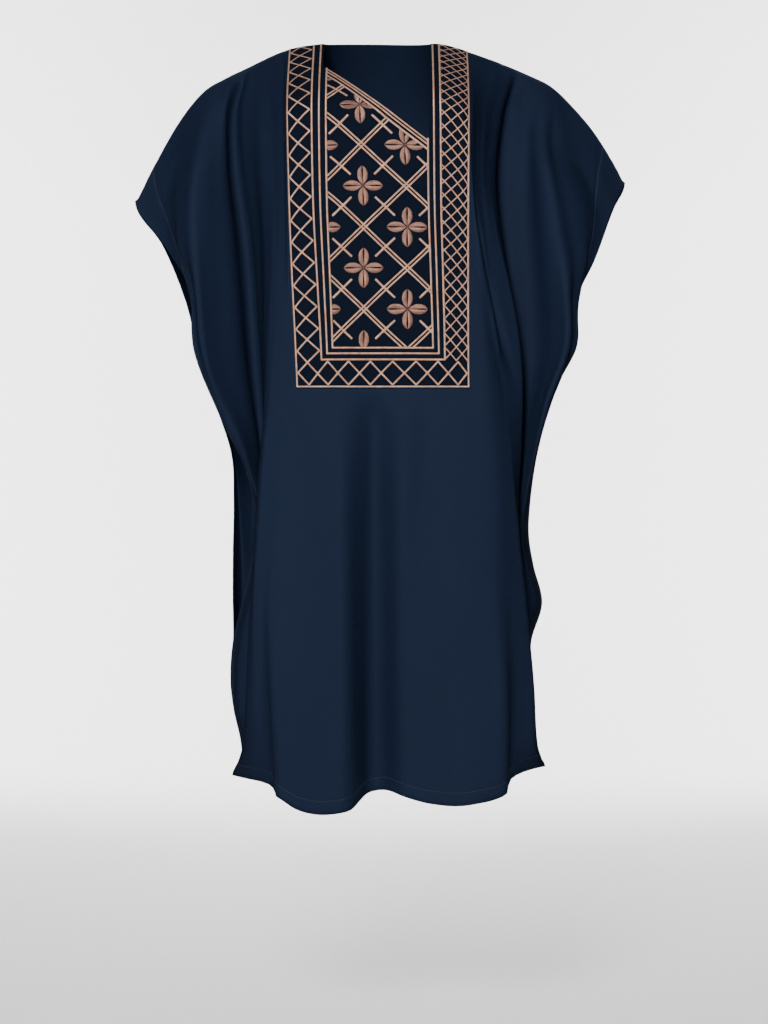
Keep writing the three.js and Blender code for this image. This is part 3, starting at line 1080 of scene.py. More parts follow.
def bake(piece: bpy.types.Object) -> bpy.types.Object:
    """Turns a piece with modifiers into a plain mesh.

    Args:
        piece: The object.

    Returns:
        The same object, with its evaluated mesh and no modifiers.
    """
    graph = bpy.context.evaluated_depsgraph_get()
    mesh = bpy.data.meshes.new_from_object(piece.evaluated_get(graph), depsgraph=graph)
    old = piece.data
    piece.modifiers.clear()
    piece.data = mesh
    bpy.data.meshes.remove(old)
    return piece


class ClothPanel:
    """A panel of the robe, made from a hanging sheet."""

    def __init__(
        self,
        name: str,
        node: str,
        slot: str,
        sheet: HangingSheet,
        finish: ClothFinish,
        opening: NeckCut | None = None,
    ) -> None:
        """Describes the panel, whose thickness is turned inwards.

        Args:
            name: The shown piece's name.
            node: The CAD node it replaces.
            slot: Its material slot in the record; not used.
            sheet: The sheet it is part of.
            finish: Its cloth.
            opening: The neck opening that is cut out of it, if any.
        """
        self.name, self.node, self.slot = name, node, slot
        self.sheet, self.finish, self.opening = sheet, finish, opening
        self.wall, self.outwards = sheet.sizes.wall, -1.0

    def grid(self) -> tuple[Array, Array, Array]:
        """The panel's grid.

        Returns:
            Its points, its places across and its distances down.
        """
        sheet = self.sheet
        points = sheet.points.copy()
        gap = sheet.sizes.seam_gap / 2
        points[:, :, 1] = sheet.side.value * np.maximum(
            points[:, :, 1] * sheet.side.value, gap
        )
        return points, sheet.places, sheet.drops

    def flat_mesh(self) -> bpy.types.Mesh:
        """The panel with no thickness, with UV in metres along the cloth.

        Returns:
            The mesh, in metres, with its opening cut.
        """
        points, places, drops = self.grid()
        rows, columns = points.shape[:2]
        corners = np.arange(rows * columns).reshape(rows, columns)
        quads = np.stack(
            [corners[:-1, :-1], corners[1:, :-1], corners[1:, 1:], corners[:-1, 1:]],
            axis=2,
        ).reshape(-1, 4)
        if self.sheet.side is Side.BACK:
            quads = quads[:, ::-1]
        mesh = bpy.data.meshes.new(self.name)
        mesh.from_pydata((points.reshape(-1, 3) * MM).tolist(), [], quads.tolist())
        uv = np.stack(np.meshgrid(places * MM, -drops * MM), axis=2).reshape(-1, 2)
        loops = np.empty(len(mesh.loops), np.int32)
        mesh.loops.foreach_get("vertex_index", loops)
        layer = mesh.uv_layers.new(name="cloth")
        layer.data.foreach_set("uv", uv[loops].astype(np.float32).ravel())
        to_side = float(self.sheet.places[-1]) - np.abs(places)[None, :]
        to_hem = float(self.sheet.drops[-1]) - drops[:, None]
        store(mesh, "from_edge", np.minimum(to_side, to_hem).ravel() * MM)
        if self.opening:
            self.opening.cut(mesh)
        return mesh

    def mesh(self) -> bpy.types.Object:
        """Makes the panel.

        Returns:
            The finished object, with its thickness.
        """
        piece = link_mesh(self.name, self.flat_mesh(), self.finish.build())
        solid = piece.modifiers.new("wall", "SOLIDIFY")
        solid.thickness = self.wall * MM
        solid.offset = self.outwards
        solid.use_rim = True
        return bake(piece)

    def dress(self, piece: bpy.types.Object) -> None:
        """Ties the piece to the CAD part.

        Args:
            piece: The finished object.
        """
        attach(piece, "root")
        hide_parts(self.node)


class NeckCut:
    """Cuts the slanting neck opening out of a panel's flat mesh."""

    def __init__(self, neck: NeckSizes) -> None:
        """Describes the cut.

        Args:
            neck: The opening's sizes.
        """
        self.neck = neck

    def inside(self, x: float, z: float) -> bool:
        """Whether a point seen from the front lies in the opening.

        Args:
            x: Its distance out, in millimetres.
            z: Its height, in millimetres.

        Returns:
            Whether it does.
        """
        neck = self.neck
        side = neck.out_left - (neck.out_left - neck.out_left_low) * (-z / neck.down_left)
        return -neck.out_right < x < side and z > self.slant(x)

    def slant(self, x: float) -> float:
        """Height of the slanting edge at a distance out, in millimetres.

        Args:
            x: The distance out, in millimetres.

        Returns:
            The height, in millimetres.
        """
        neck = self.neck
        share = (x + neck.out_right) / (neck.out_left_low + neck.out_right)
        return -(neck.down_right + (neck.down_left - neck.down_right) * share)

    def cut(self, mesh: bpy.types.Mesh) -> None:
        """Removes the opening from a mesh, along straight lines seen from the front.

        Args:
            mesh: The flat mesh, in metres.
        """
        neck = self.neck
        lines = (
            ((-neck.out_right, 0.0), (-neck.out_right, -1.0)),
            ((-neck.out_right, -neck.down_right), (neck.out_left_low, -neck.down_left)),
            ((neck.out_left, 0.0), (neck.out_left_low, -neck.down_left)),
        )
        work = bmesh.new()
        work.from_mesh(mesh)
        for start, end in lines:
            near = [face for face in work.faces if self._near(face)]
            parts = {item for face in near for item in (face, *face.edges, *face.verts)}
            run = Vector((end[0] - start[0], 0, end[1] - start[1]))
            bmesh.ops.bisect_plane(
                work,
                geom=list(parts),
                dist=1e-6,
                plane_co=Vector((start[0], 0, start[1])) * MM,
                plane_no=run.cross(Vector((0, 1, 0))).normalized(),
            )
        gone = []
        for face in work.faces:
            centre = face.calc_center_median()
            if self.inside(centre.x / MM, centre.z / MM):
                gone.append(face)
        bmesh.ops.delete(work, geom=gone, context="FACES")
        work.to_mesh(mesh)
        work.free()

    def _near(self, face: bmesh.types.BMFace) -> bool:
        """Whether a face is near the opening.

        Args:
            face: The face, in metres.

        Returns:
            Whether its centre is within the cut's margin.
        """
        centre, neck = face.calc_center_median() / MM, self.neck
        within = abs(centre.x) < neck.out_right + neck.margin
        return within and centre.z > -neck.down_left - neck.margin


@dataclass(frozen=True)
class PlastronSizes:
    """The embroidered plastron, in millimetres along the cloth.

    Args:
        half_width: Half its width.
        wall: Its thickness.
        top: How far below the shoulder seam it begins.
        row_gap: Least distance from there to the grid's next row.
    """

    half_width: float = 136.0
    wall: float = 1.0
    top: float = 2.0
    row_gap: float = 0.5


class Plastron(ClothPanel):
    """The ground cloth of the plastron, which lies on the front."""

    def __init__(
        self, sheet: HangingSheet, finish: ClothFinish, opening: NeckCut, sizes: PlastronSizes
    ) -> None:
        """Describes the plastron, whose thickness is turned outwards.

        Args:
            sheet: The front's hanging sheet.
            finish: Its cloth.
            opening: The neck opening.
            sizes: Its sizes.
        """
        name, node = "plastron_cloth", "embroidered_plastron"
        super().__init__(name, node, "plastron_cloth", sheet, finish, opening)
        self.sizes, self.wall, self.outwards = sizes, sizes.wall, 1.0

    @property
    def lift(self) -> float:
        """How far the plastron's face stands off the front."""
        return self.sheet.sizes.seam_gap + self.sizes.wall

    def grid(self) -> tuple[Array, Array, Array]:
        """Points, places and distances of the plastron's under side.

        Returns:
            Its points, its places across and its distances down.
        """
        sheet, half = self.sheet, self.sizes.half_width
        places = sheet.places[np.abs(sheet.places) <= half + TOUCH]
        above, below = self.sizes.top + self.sizes.row_gap, sheet.chest_length
        inner = sheet.drops[(sheet.drops > above) & (sheet.drops < below)]
        drops = np.array([self.sizes.top, *inner, below])
        u, v = np.meshgrid(places, drops)
        points, _ = sheet.at(u.ravel(), v.ravel(), sheet.sizes.seam_gap)
        return points.reshape(*u.shape, 3), places, drops


@dataclass
class Band:
    """A row of stitches.

    Args:
        path: Its middle line, as (across, down the cloth) points.
        width: Its width at each of those points.
        slant: How far each stitch leans from square across, in radians.
        lift: How far its foot stands off the plastron's face.
    """

    path: Array
    width: Array
    slant: float = 0.0
    lift: float = 0.0

    def kept(self, keep: Callable[[Array, Array], Array], least: float = 1.0) -> list["Band"]:
        """The stretches of the band that a rule keeps.

        Args:
            keep: Tells for arrays of across and down which points stay.
            least: Length under which a stretch is dropped.

        Returns:
            One band per stretch.
        """
        inside = keep(self.path[:, 0], self.path[:, 1])
        edges = np.flatnonzero(np.diff(np.concatenate([[0], inside.astype(int), [0]])))
        parts = []
        for a, b in zip(edges[::2], edges[1::2]):
            if math.dist(self.path[a], self.path[b - 1]) > least:
                parts.append(Band(self.path[a:b], self.width[a:b], self.slant, self.lift))
        return parts


def straight(
    start: Sequence[float], end: Sequence[float], width: float, step: float = POINT_STEP
) -> Band:
    """A straight band.

    Args:
        start: Its first point along the cloth.
        end: Its last point.
        width: Its width.
        step: Distance between its points.

    Returns:
        The band.
    """
    a, b = np.asarray(start, float), np.asarray(end, float)
    count = max(3, int(np.linalg.norm(b - a) / step))
    share = np.linspace(0, 1, count)[:, None]
    return Band(a + (b - a) * share, np.full(count, width))


def beside(path: Array, distance: float) -> Array:
    """A line that follows another at a distance, to its right as seen from the front.

    Args:
        path: The other line, as points along the cloth.
        distance: How far off it runs.

    Returns:
        The line, point by point.
    """
    run = np.gradient(path, axis=0)
    run /= np.linalg.norm(run, axis=1, keepdims=True)
    return path + np.stack([-run[:, 1], run[:, 0]], axis=1) * distance


@dataclass(frozen=True)
class EmbroideryPlan:
    """The pattern's measures, in millimetres along the cloth.

    The insets are counted from the plastron's edge. The trellis is a plain diagonal lattice,
    whose nodes and flowers alternate. The drift has a row for each height: how far down the
    cloth it is, and how far to the left the nested side lines run off true there. The innermost
    sides start a little below the slanting edge on the right and above its end on the left, and
    its own lines carry on straight beyond the tail's points. A petal narrows to its least share
    at both ends, its vein is left open, and its stitches slant, in radians.
    """

    outer_inset: float = 2.0
    outer_width: float = 2.7
    side_insets: tuple[float, float, float] = (44.0, 53.4, 62.3)
    foot_insets: tuple[float, float, float] = (41.5, 50.4, 58.6)
    frame_width: float = 2.8
    slant_insets: tuple[float, float, float] = (2.0, 6.4, 12.2)
    slant_widths: tuple[float, float, float] = (2.4, 2.3, 3.0)
    slant_lift: float = 0.05
    slant_points: int = 60
    slant_tail: int = 8
    side_starts: tuple[float, float] = (1.0, -2.0)
    border_start: float = 1.0
    chain_pitch: tuple[float, float] = (32.6, 32.3)
    chain_corner: tuple[float, float] = (23.9, 22.6)
    chain_count: int = 8
    chain_width: float = 2.6
    net_cells: int = 2
    net_pitch: float = 20.2
    net_foot: float = 40.6
    net_width: float = 1.9
    trellis_node: tuple[float, float] = (-24.0, 355.0)
    trellis_step: tuple[float, float] = (63.0, 60.0)
    trellis_width: float = 2.5
    trellis_apart: float = 4.8
    trellis_lift: float = 0.25
    trellis_counts: tuple[range, range] = (range(-2, 4), range(-6, 8))
    bar_length: float = 38.0
    bar_width: float = 3.4
    petal_length: float = 28.5
    petal_width: float = 15.6
    petal_base: float = 1.0
    petal_power: float = 2.3
    petal_tip: float = 1.04
    petal_least: float = 0.06
    petal_vein: float = 0.2
    petal_slant: float = 0.55
    petal_lift: float = 0.1
    petal_points: int = 64
    lean: float = 9.0
    lean_from: float = 270.0
    lean_over: float = 230.0
    least_run: float = 5.0
    drift: tuple[tuple[float, float], ...] = (
        (0, -3.7), (260, -3.6), (330, -3.0), (440, 0.0), (560, 2.5),
    )


class Embroidery:
    """The plastron's pattern as bands of satin stitch."""

    def __init__(self, plan: EmbroideryPlan, plastron: Plastron) -> None:
        """Lays out the pattern.

        Args:
            plan: Its measures.
            plastron: The plastron it is worked on.
        """
        self.plan, self.plastron = plan, plastron
        self.sheet = plastron.sheet
        self.half = plastron.sizes.half_width
        self.top, self.bottom = plastron.sizes.top, self.sheet.chest_length
        self.slant_path = self._slant_path()
        self.drift = Spline(*zip(*plan.drift))

    def _slant_path(self) -> Array:
        """The neck opening's slanting edge along the cloth, from right to left.

        Returns:
            Its points.
        """
        cut = self.plastron.opening
        ends = -cut.neck.out_right, cut.neck.out_left_low
        outs = np.linspace(*ends, self.plan.slant_points)
        return np.array([self.sheet.flat_of(x, -cut.slant(x)) for x in outs])

    def below_slant(self, u: Array, v: Array, distance: float) -> Array:
        """Whether points lie at least a distance below the slanting edge."""
        line = beside(self.slant_path, distance)
        return v > np.interp(u, line[:, 0], line[:, 1])

    def field(self, u: Array, v: Array) -> Array:
        """Whether points lie in the pattern's middle field.

        Args:
            u: Their places across the cloth.
            v: Their distances down it.

        Returns:
            One answer per point.
        """
        plan = self.plan
        side = plan.side_insets[2] + plan.frame_width / 2
        foot = plan.foot_insets[2] + plan.frame_width / 2
        low = plan.slant_insets[2] + plan.slant_widths[2] / 2
        inside = (np.abs(u - self.drift(v)) < self.half - side) & (v < self.bottom - foot)
        return inside & self.below_slant(u, v, low)

    def _side(self, u: float, start: float, end: float, width: float) -> Band:
        """One nested side line, which drifts a little on its way down."""
        v = np.arange(start, end + POINT_STEP / 2, POINT_STEP)
        return Band(np.stack([u + self.drift(v), v], axis=1), np.full(len(v), width))

    def frame(self) -> list[Band]:
        """The outer line, the three nested lines and the lines along the slant.

        Returns:
            Their bands.
        """
        plan, half, top, bottom = self.plan, self.half, self.top, self.bottom
        bands: list[Band] = []
        sides = (plan.outer_inset, *plan.side_insets)
        feet = (plan.outer_inset, *plan.foot_insets)
        for index, (side, foot) in enumerate(zip(sides, feet)):
            width = plan.frame_width if index else plan.outer_width
            edge, low = half - side, bottom - foot
            if index == 0:
                corners = [(-edge, top), (-edge, low), (edge, low), (edge, top)]
                bands += [straight(a, b, width) for a, b in zip(corners, corners[1:])]
                continue
            starts = [top, top]
            if index == len(plan.side_insets):
                at_right = -edge + float(self.drift(self.slant_path[0, 1]))
                on_slant = float(np.interp(at_right, *self.slant_path.T))
                starts[0] = on_slant + plan.side_starts[0]
                starts[1] = self.slant_path[-1, 1] + plan.side_starts[1]
            foot_drift = float(self.drift(low))
            bands.append(self._side(-edge, starts[0], low, width))
            bands.append(straight((-edge + foot_drift, low), (edge + foot_drift, low), width))
            bands.append(self._side(edge, starts[1], low, width))
        reach = half - plan.side_insets[2]
        first_out = -reach + float(self.drift(self.slant_path[0, 1]))
        last_out = reach + float(self.drift(self.slant_path[-1, 1]))
        for inset, width in zip(plan.slant_insets, plan.slant_widths):
            path = beside(self.slant_path, inset)
            run = path[-1] - path[-plan.slant_tail]
            last = path[-1] + run * (last_out - path[-1, 0]) / run[0]
            first = [first_out, np.interp(first_out, path[:, 0], path[:, 1])]
            inner = path[(path[:, 0] > first_out) & (path[:, 0] < last_out)]
            fine = self._resample(np.vstack([first, inner, last]))
            bands.append(Band(fine, np.full(len(fine), width), lift=plan.slant_lift))
        return bands

    def _resample(self, path: Array) -> Array:
        """The same line with evenly spaced points.

        Args:
            path: The line's points.

        Returns:
            The new points.
        """
        steps = np.linalg.norm(np.diff(path, axis=0), axis=1)
        along = np.concatenate([[0], np.cumsum(steps)])
        at = np.linspace(0, along[-1], max(3, int(along[-1] / POINT_STEP)))
        return np.stack([np.interp(at, along, path[:, i]) for i in (0, 1)], axis=1)

    def _lattice(
        self,
        start: tuple[float, float],
        cell: tuple[float, float],
        width: float,
        keep: Callable[[Array, Array], Array],
        lift: float,
    ) -> list[Band]:
        """Diagonal lines both ways through a lattice of points, as far as a rule keeps them.

        Args:
            start: One point of the lattice.
            cell: Half a diamond's width and height.
            width: The lines' width.
            keep: Tells for arrays of across and down which points stay.
            lift: How far the lines stand off the plastron's face.

        Returns:
            The lines' bands.
        """
        bands: list[Band] = []
        spare_reach, spare_lines = 2, 4
        reach = int(2 * self.half / cell[0]) + spare_reach
        first = -int(self.bottom / cell[1]) - reach - spare_lines
        for k in range(first, reach + spare_lines):
            for way in (-1, 1):
                base = start[1] + 2 * k * cell[1]
                a = (start[0] - reach * cell[0], base - way * reach * cell[1])
                b = (start[0] + reach * cell[0], base + way * reach * cell[1])
                line = straight(a, b, width)
                line.lift = lift
                bands.extend(line.kept(keep))
        return bands

    def chain(self) -> list[Band]:
        """The chain of diamonds down the right and along the bottom.

        Two zigzags cross each other all the way, and turn the corner together.

        Returns:
            Their bands.
        """
        plan, half, bottom = self.plan, self.half, self.bottom
        edge = plan.outer_inset + plan.outer_width / 2 + plan.chain_width / 2
        inner = plan.frame_width / 2 + plan.chain_width / 2
        outside, inside = -half + edge, -half + plan.side_insets[0] - inner
        floor, roof = bottom - edge, bottom - plan.foot_insets[0] + inner
        corner = (-half + plan.chain_corner[0], bottom - plan.chain_corner[1])
        along, up = plan.chain_pitch
        steps = int(bottom / up) + 1
        bands: list[Band] = []
        for turn in (0, 1):
            side = []
            for k in range(steps, turn - 1, -1):
                v = corner[1] - k * up
                drifted = inside + float(self.drift(v))
                side.append((outside if (k + turn) % 2 == 0 else drifted, v))
            foot = [
                (corner[0] + k * along, floor if (k + turn) % 2 == 0 else roof)
                for k in range(turn, plan.chain_count)
            ]
            last = (half - edge, (floor + roof) / 2)
            for start, end in zip([*side, *foot], [*side[1:], *foot, last]):
                band = straight(start, end, plan.chain_width)
                bands.extend(band.kept(lambda u, v: v > self.top + plan.border_start))
        return bands

    def net(self) -> list[Band]:
        """The closer net of diamonds down the left.

        Returns:
            Its bands.
        """
        plan, half, bottom = self.plan, self.half, self.bottom
        outer = half - plan.outer_inset - plan.outer_width / 2
        inner = half - plan.side_insets[0] + plan.frame_width / 2
        low, top = bottom - plan.net_foot, self.top + plan.border_start

        def keep(u: Array, v: Array) -> Array:
            """Whether points lie inside the net's outline."""
            return (u > inner + self.drift(v)) & (u < outer) & (v > top) & (v < low)

        cell = ((outer - inner) / (2 * plan.net_cells), plan.net_pitch / 2)
        return self._lattice((inner, low), cell, plan.net_width, keep, 0.0)

    def _leaned(self, bands: list[Band]) -> list[Band]:
        """The field's bands, drawn over to the right where the chest pulls them.

        Args:
            bands: The bands as they were laid out.

        Returns:
            The parts of them that lie in the field.
        """
        plan = self.plan
        bent: list[Band] = []
        for band in bands:
            height = self.bottom - band.path[:, 1]
            share = np.clip((height - plan.lean_from) / plan.lean_over, 0, 1)
            path = band.path.copy()
            path[:, 0] -= plan.lean * share
            bent.append(Band(path, band.width, band.slant, band.lift))
        return [part for band in bent for part in band.kept(self.field, plan.least_run)]

    def _nodes(self) -> Iterable[tuple[int, int, float, float]]:
        """Points of the trellis's lattice, as its two counts and its place on the cloth.

        Returns:
            Each point in turn.
        """
        plan = self.plan
        across, down = plan.trellis_counts
        for m in across:
            for n in down:
                u = plan.trellis_node[0] + m * plan.trellis_step[0]
                v = self.bottom - plan.trellis_node[1] + n * plan.trellis_step[1]
                yield m, n, u, v

    def trellis(self) -> list[Band]:
        """The double diagonal lines of the field, and the short bars across them.

        Returns:
            Their bands.
        """
        plan = self.plan
        bands: list[Band] = []
        node = (plan.trellis_node[0], self.bottom - plan.trellis_node[1])
        du, dv = plan.trellis_step
        slope = math.hypot(du, dv)

        def wide(u: Array, v: Array) -> Array:
            """Whether points lie on the plastron."""
            return (np.abs(u) < self.half) & (v > 0) & (v < self.bottom)

        for side in (-0.5, 0.5):
            shift = plan.trellis_apart * side * slope / du
            start = (node[0], node[1] + shift)
            bands += self._lattice(start, (du, dv), plan.trellis_width, wide, plan.trellis_lift)
        half_bar = np.array([du, dv]) / slope * plan.bar_length / 2
        for m, n, u, v in self._nodes():
            if (m + n) % 2:
                continue
            for way in (-1, 1):
                middle = np.array([u + du / 2, v + way * dv / 2])
                across = half_bar * np.array([1, -way])
                bands.append(straight(middle - across, middle + across, plan.bar_width))
        return self._leaned(bands)

    def flowers(self) -> list[Band]:
        """The four-petalled flowers between the trellis's lines.

        Returns:
            Their bands.
        """
        bands: list[Band] = []
        for m, n, u, v in self._nodes():
            if (m + n) % 2:
                for quarter in range(4):
                    bands.extend(self._petal(u, v, quarter * math.pi / 2))
        return self._leaned(bands)

    def _petal(self, u: float, v: float, turn: float) -> list[Band]:
        """Both halves of one petal, which meet at its vein.

        Args:
            u: Place of the flower's middle across the cloth.
            v: Its distance down it.
            turn: The petal's direction, in radians.

        Returns:
            One band for each half.
        """
        plan = self.plan
        share = np.linspace(0, 1, plan.petal_points)
        along = plan.petal_base + share * (plan.petal_length - plan.petal_base)
        shape = 1 - np.abs(2 * share - plan.petal_tip) ** plan.petal_power
        half = plan.petal_width / 2 * np.clip(shape, plan.petal_least, 1)
        way = np.array([math.cos(turn), math.sin(turn)])
        aside = np.array([-way[1], way[0]])
        bands: list[Band] = []
        for side in (-1, 1):
            middle = side * (half / 2 + plan.petal_vein)
            path = np.array([u, v]) + along[:, None] * way + middle[:, None] * aside
            bands.append(Band(path, half, side * plan.petal_slant, plan.petal_lift))
        return bands


@dataclass(frozen=True)
class StitchFinish:
    """Shape of one stitch, in millimetres.

    Args:
        pitch: Distance from one stitch to the next.
        height: How high the thread stands.
        thread: Thickness of the thread.
    """

    pitch: float
    height: float
    thread: float


@dataclass(frozen=True)
class SeamSizes:
    """Where the topstitching runs and how long its stitches are, in millimetres.

    Args:
        hem: Distance of its row from the hem.
        side: Distance of its rows from the free edges.
        shoulder: Distance of its row from the shoulder seam.
        corner: How far the rows at the shoulder are staggered.
        neck: Where the front's shoulder rows begin, beside the plastron.
        length: Length of a stitch.
        step: Distance between the points of a row.
        lift: How far the stitches' feet stand off the cloth.
    """

    hem: float = 19.0
    side: float = 18.0
    shoulder: float = 6.0
    corner: float = 8.0
    neck: float = 140.0
    length: float = 2.4
    step: float = 4.0
    lift: float = 0.05


class Topstitching:
    """The rows that hold a panel's hem, its free edges and its shoulder seam."""

    def __init__(self, sheet: HangingSheet, sizes: SeamSizes) -> None:
        """Lays out the rows.

        Args:
            sheet: The sheet they are worked on.
            sizes: Their sizes.
        """
        self.sheet, self.sizes = sheet, sizes

    def rows(self) -> list[Band]:
        """One band per row, with each stitch turned to lie along it.

        Returns:
            The bands.
        """
        sizes, sheet = self.sizes, self.sheet
        side = float(sheet.places[-1]) - sizes.side
        foot = float(sheet.drops[-1]) - sizes.hem
        head = sizes.shoulder
        past = side + sizes.corner
        lines = [((-side, foot), (side, foot))]
        lines += [((way * side, head + sizes.corner), (way * side, foot)) for way in (-1, 1)]
        if sheet.side is Side.FRONT:
            lines += [((way * sizes.neck, head), (way * past, head)) for way in (-1, 1)]
        else:
            lines.append(((-past, head), (past, head)))
        bands = []
        for start, end in lines:
            band = straight(start, end, sizes.length, sizes.step)
            band.slant = math.pi / 2
            bands.append(band)
        return bands


class StitchRow:
    """Turns bands into a piece of real stitches, one thread each.

    A stitch is swept through stations, each a share of its length and of its height. Its
    section has a foot, a ridge and a foot, with the feet below the cloth's face. Its size and
    its slant vary a little at random.
    """

    stations: tuple[tuple[float, float], ...] = (
        (-0.5, -0.1), (-0.4, 0.72), (0.0, 1.0), (0.4, 0.72), (0.5, -0.1),
    )
    feet: float = -0.15
    loose: dict[str, float] = {"Min": 0.93, "Max": 1.07, "Seed": 7}

    def __init__(self, name: str, finish: StitchFinish, thread: ThreadFinish) -> None:
        """Describes the rows.

        Args:
            name: The piece's name.
            finish: Shape of a stitch.
            thread: Its thread.
        """
        self.name, self.finish, self.thread = name, finish, thread

    def _stitch(self) -> bpy.types.Object:
        """One thread, 1 m wide across its row, to be scaled to each row's width.

        Returns:
            The object.
        """
        finish = self.finish
        half = finish.thread / 2 * MM
        high = finish.height * MM
        vertices: list[tuple[float, float, float]] = []
        for y, share in self.stations:
            foot = high * self.feet
            vertices += [(-half, y, foot), (0.0, y, high * share), (half, y, foot)]
        faces = [
            (3 * i + j, 3 * i + j + 1, 3 * i + j + 4, 3 * i + j + 3)
            for i in range(len(self.stations) - 1)
            for j in range(2)
        ]
        mesh = bpy.data.meshes.new(self.name + "_thread")
        mesh.from_pydata(vertices, [], faces)
        mesh.shade_smooth()
        return placed(self.name + "_thread", mesh)

    def _rails(self, bands: list[Band], sheet: HangingSheet, foot: float) -> bpy.types.Object:
        """The bands' middle lines on the cloth, with each point's width, slant and normal.

        Args:
            bands: The bands.
            sheet: The sheet they lie on.
            foot: How far the plastron's face or the cloth stands off it, in millimetres.

        Returns:
            An object of edges alone.
        """
        points, edges, widths, slants, normals = [], [], [], [], []
        count = 0
        for band in bands:
            place, normal = sheet.at(band.path[:, 0], band.path[:, 1], foot + band.lift)
            points.append(place * MM)
            normals.append(normal)
            widths.append(band.width * MM)
            slants.append(np.full(len(place), band.slant))
            edges.extend((count + i, count + i + 1) for i in range(len(place) - 1))
            count += len(place)
        mesh = bpy.data.meshes.new(self.name)
        mesh.from_pydata(np.concatenate(points).tolist(), edges, [])
        store(mesh, "stitch_width", np.concatenate(widths))
        store(mesh, "stitch_slant", np.concatenate(slants))
        store(mesh, "stitch_up", np.concatenate(normals))
        return placed(self.name, mesh)

    def _group(self) -> bpy.types.GeometryNodeTree:
        """The node group that sets a thread at every step along each rail.

        Returns:
            The group.
        """
        tree = bpy.data.node_groups.new(self.name + "_rows", "GeometryNodeTree")
        for name, socket in (
            ("Rails", Socket.GEOMETRY),
            ("Pitch", Socket.LENGTH),
            ("Thread", Socket.OBJECT),
            ("Material", Socket.MATERIAL),
        ):
            tree.interface.new_socket(name, in_out="INPUT", socket_type=socket.value)
        tree.interface.new_socket("Stitches", in_out="OUTPUT", socket_type=Socket.GEOMETRY.value)
        nodes = NodeBuilder(tree)
        given = nodes.add("NodeGroupInput").outputs
        curves = nodes.add("GeometryNodeMeshToCurve", {"Mesh": given["Rails"]}).outputs["Curve"]
        spaced = nodes.add(
            "GeometryNodeResampleCurve",
            {"Curve": curves, "Length": given["Pitch"]},
            mode="LENGTH",
        ).outputs["Curve"]

        def named(name: str, kind: str) -> bpy.types.NodeSocket:
            """A value that the rails carry."""
            carried = nodes.add("GeometryNodeInputNamedAttribute", {"Name": name}, data_type=kind)
            return carried.outputs["Attribute"]

        upright = nodes.add(
            "FunctionNodeAlignRotationToVector",
            {"Vector": named("stitch_up", "FLOAT_VECTOR")},
            axis="Z",
        ).outputs["Rotation"]
        tangent = nodes.add("GeometryNodeInputTangent").outputs["Tangent"]
        along = nodes.add(
            "FunctionNodeAlignRotationToVector",
            {"Rotation": upright, "Vector": tangent},
            axis="X",
            pivot_axis="Z",
        ).outputs["Rotation"]
        jitter = nodes.add("FunctionNodeRandomValue", self.loose, data_type="FLOAT")
        loose = next(s for s in jitter.outputs if s.type == "VALUE" and s.enabled)
        lean = nodes.math("MULTIPLY", named("stitch_slant", "FLOAT"), loose)
        turn = nodes.add("FunctionNodeAxisAngleToRotation", {"Axis": (0, 0, 1), "Angle": lean})
        rotation = nodes.add(
            "FunctionNodeRotateRotation",
            {"Rotation": along, "Rotate By": turn.outputs["Rotation"]},
            rotation_space="LOCAL",
        ).outputs["Rotation"]
        width = nodes.math("MULTIPLY", named("stitch_width", "FLOAT"), loose)
        scale = nodes.add("ShaderNodeCombineXYZ", {"X": 1.0, "Y": width, "Z": loose})
        thread = nodes.add(
            "GeometryNodeObjectInfo", {"Object": given["Thread"], "As Instance": True}
        ).outputs["Geometry"]
        stitch = {
            "Points": spaced,
            "Instance": thread,
            "Rotation": rotation,
            "Scale": scale.outputs["Vector"],
        }
        stitches = nodes.add("GeometryNodeInstanceOnPoints", stitch).outputs["Instances"]
        real = nodes.add("GeometryNodeRealizeInstances", {"Geometry": stitches})
        bare = {"Geometry": real.outputs["Geometry"], "Material": given["Material"]}
        dyed = nodes.add("GeometryNodeSetMaterial", bare)
        nodes.add("NodeGroupOutput", {"Stitches": dyed.outputs["Geometry"]})
        return tree

    def mesh(self, bands: list[Band], sheet: HangingSheet, foot: float) -> bpy.types.Object:
        """Works the bands.

        Args:
            bands: Rows of stitches along the cloth.
            sheet: The sheet they lie on.
            foot: How far their feet stand off it, in millimetres.

        Returns:
            One mesh object with every stitch.
        """
        rails = self._rails(bands, sheet, foot)
        thread = self._stitch()
        group = self._group()
        modifier = rails.modifiers.new("stitches", "NODES")
        modifier.node_group = group
        values = {
            "Pitch": self.finish.pitch * MM,
            "Thread": thread,
            "Material": self.thread.build(),
        }
        for item in group.interface.items_tree:
            if item.name in values:
                modifier[item.identifier] = values[item.name]
        bake(rails)
        bpy.data.objects.remove(thread)
        rails.data.shade_smooth()
        LOG.info("%s: %d faces", self.name, len(rails.data.polygons))
        return rails


@dataclass(frozen=True)
class StudioSizes:
    """The camera and the backdrop, in metres.

    The camera stands as far off as the photograph's perspective asks for, at the same height.

    Args:
        camera_out: The camera's distance out.
        camera_away: Its distance in front.
        camera_up: Its height.
        view_height: Height of what it sees at the origin.
        sensor: Size of its sensor, in millimetres.
        clip: How far it sees.
        floor_up: Height of the floor.
        wall_back: Distance of the wall behind the origin.
        wall_top: Height of its top.
        front: Where the floor begins.
        wide: Half width of floor and wall.
        cove: Radius of the curve between them.
        cove_steps: How many points that curve has.
    """

    camera_out: float = 0.006
    camera_away: float = 4.0
    camera_up: float = -0.7067
    view_height: float = 1.546
    sensor: float = 36.0
    clip: float = 60.0
    floor_up: float = -1.52
    wall_back: float = 6.4
    wall_top: float = 4.0
    front: float = -2.6
    wide: float = 4.5
    cove: float = 2.0
    cove_steps: int = 24


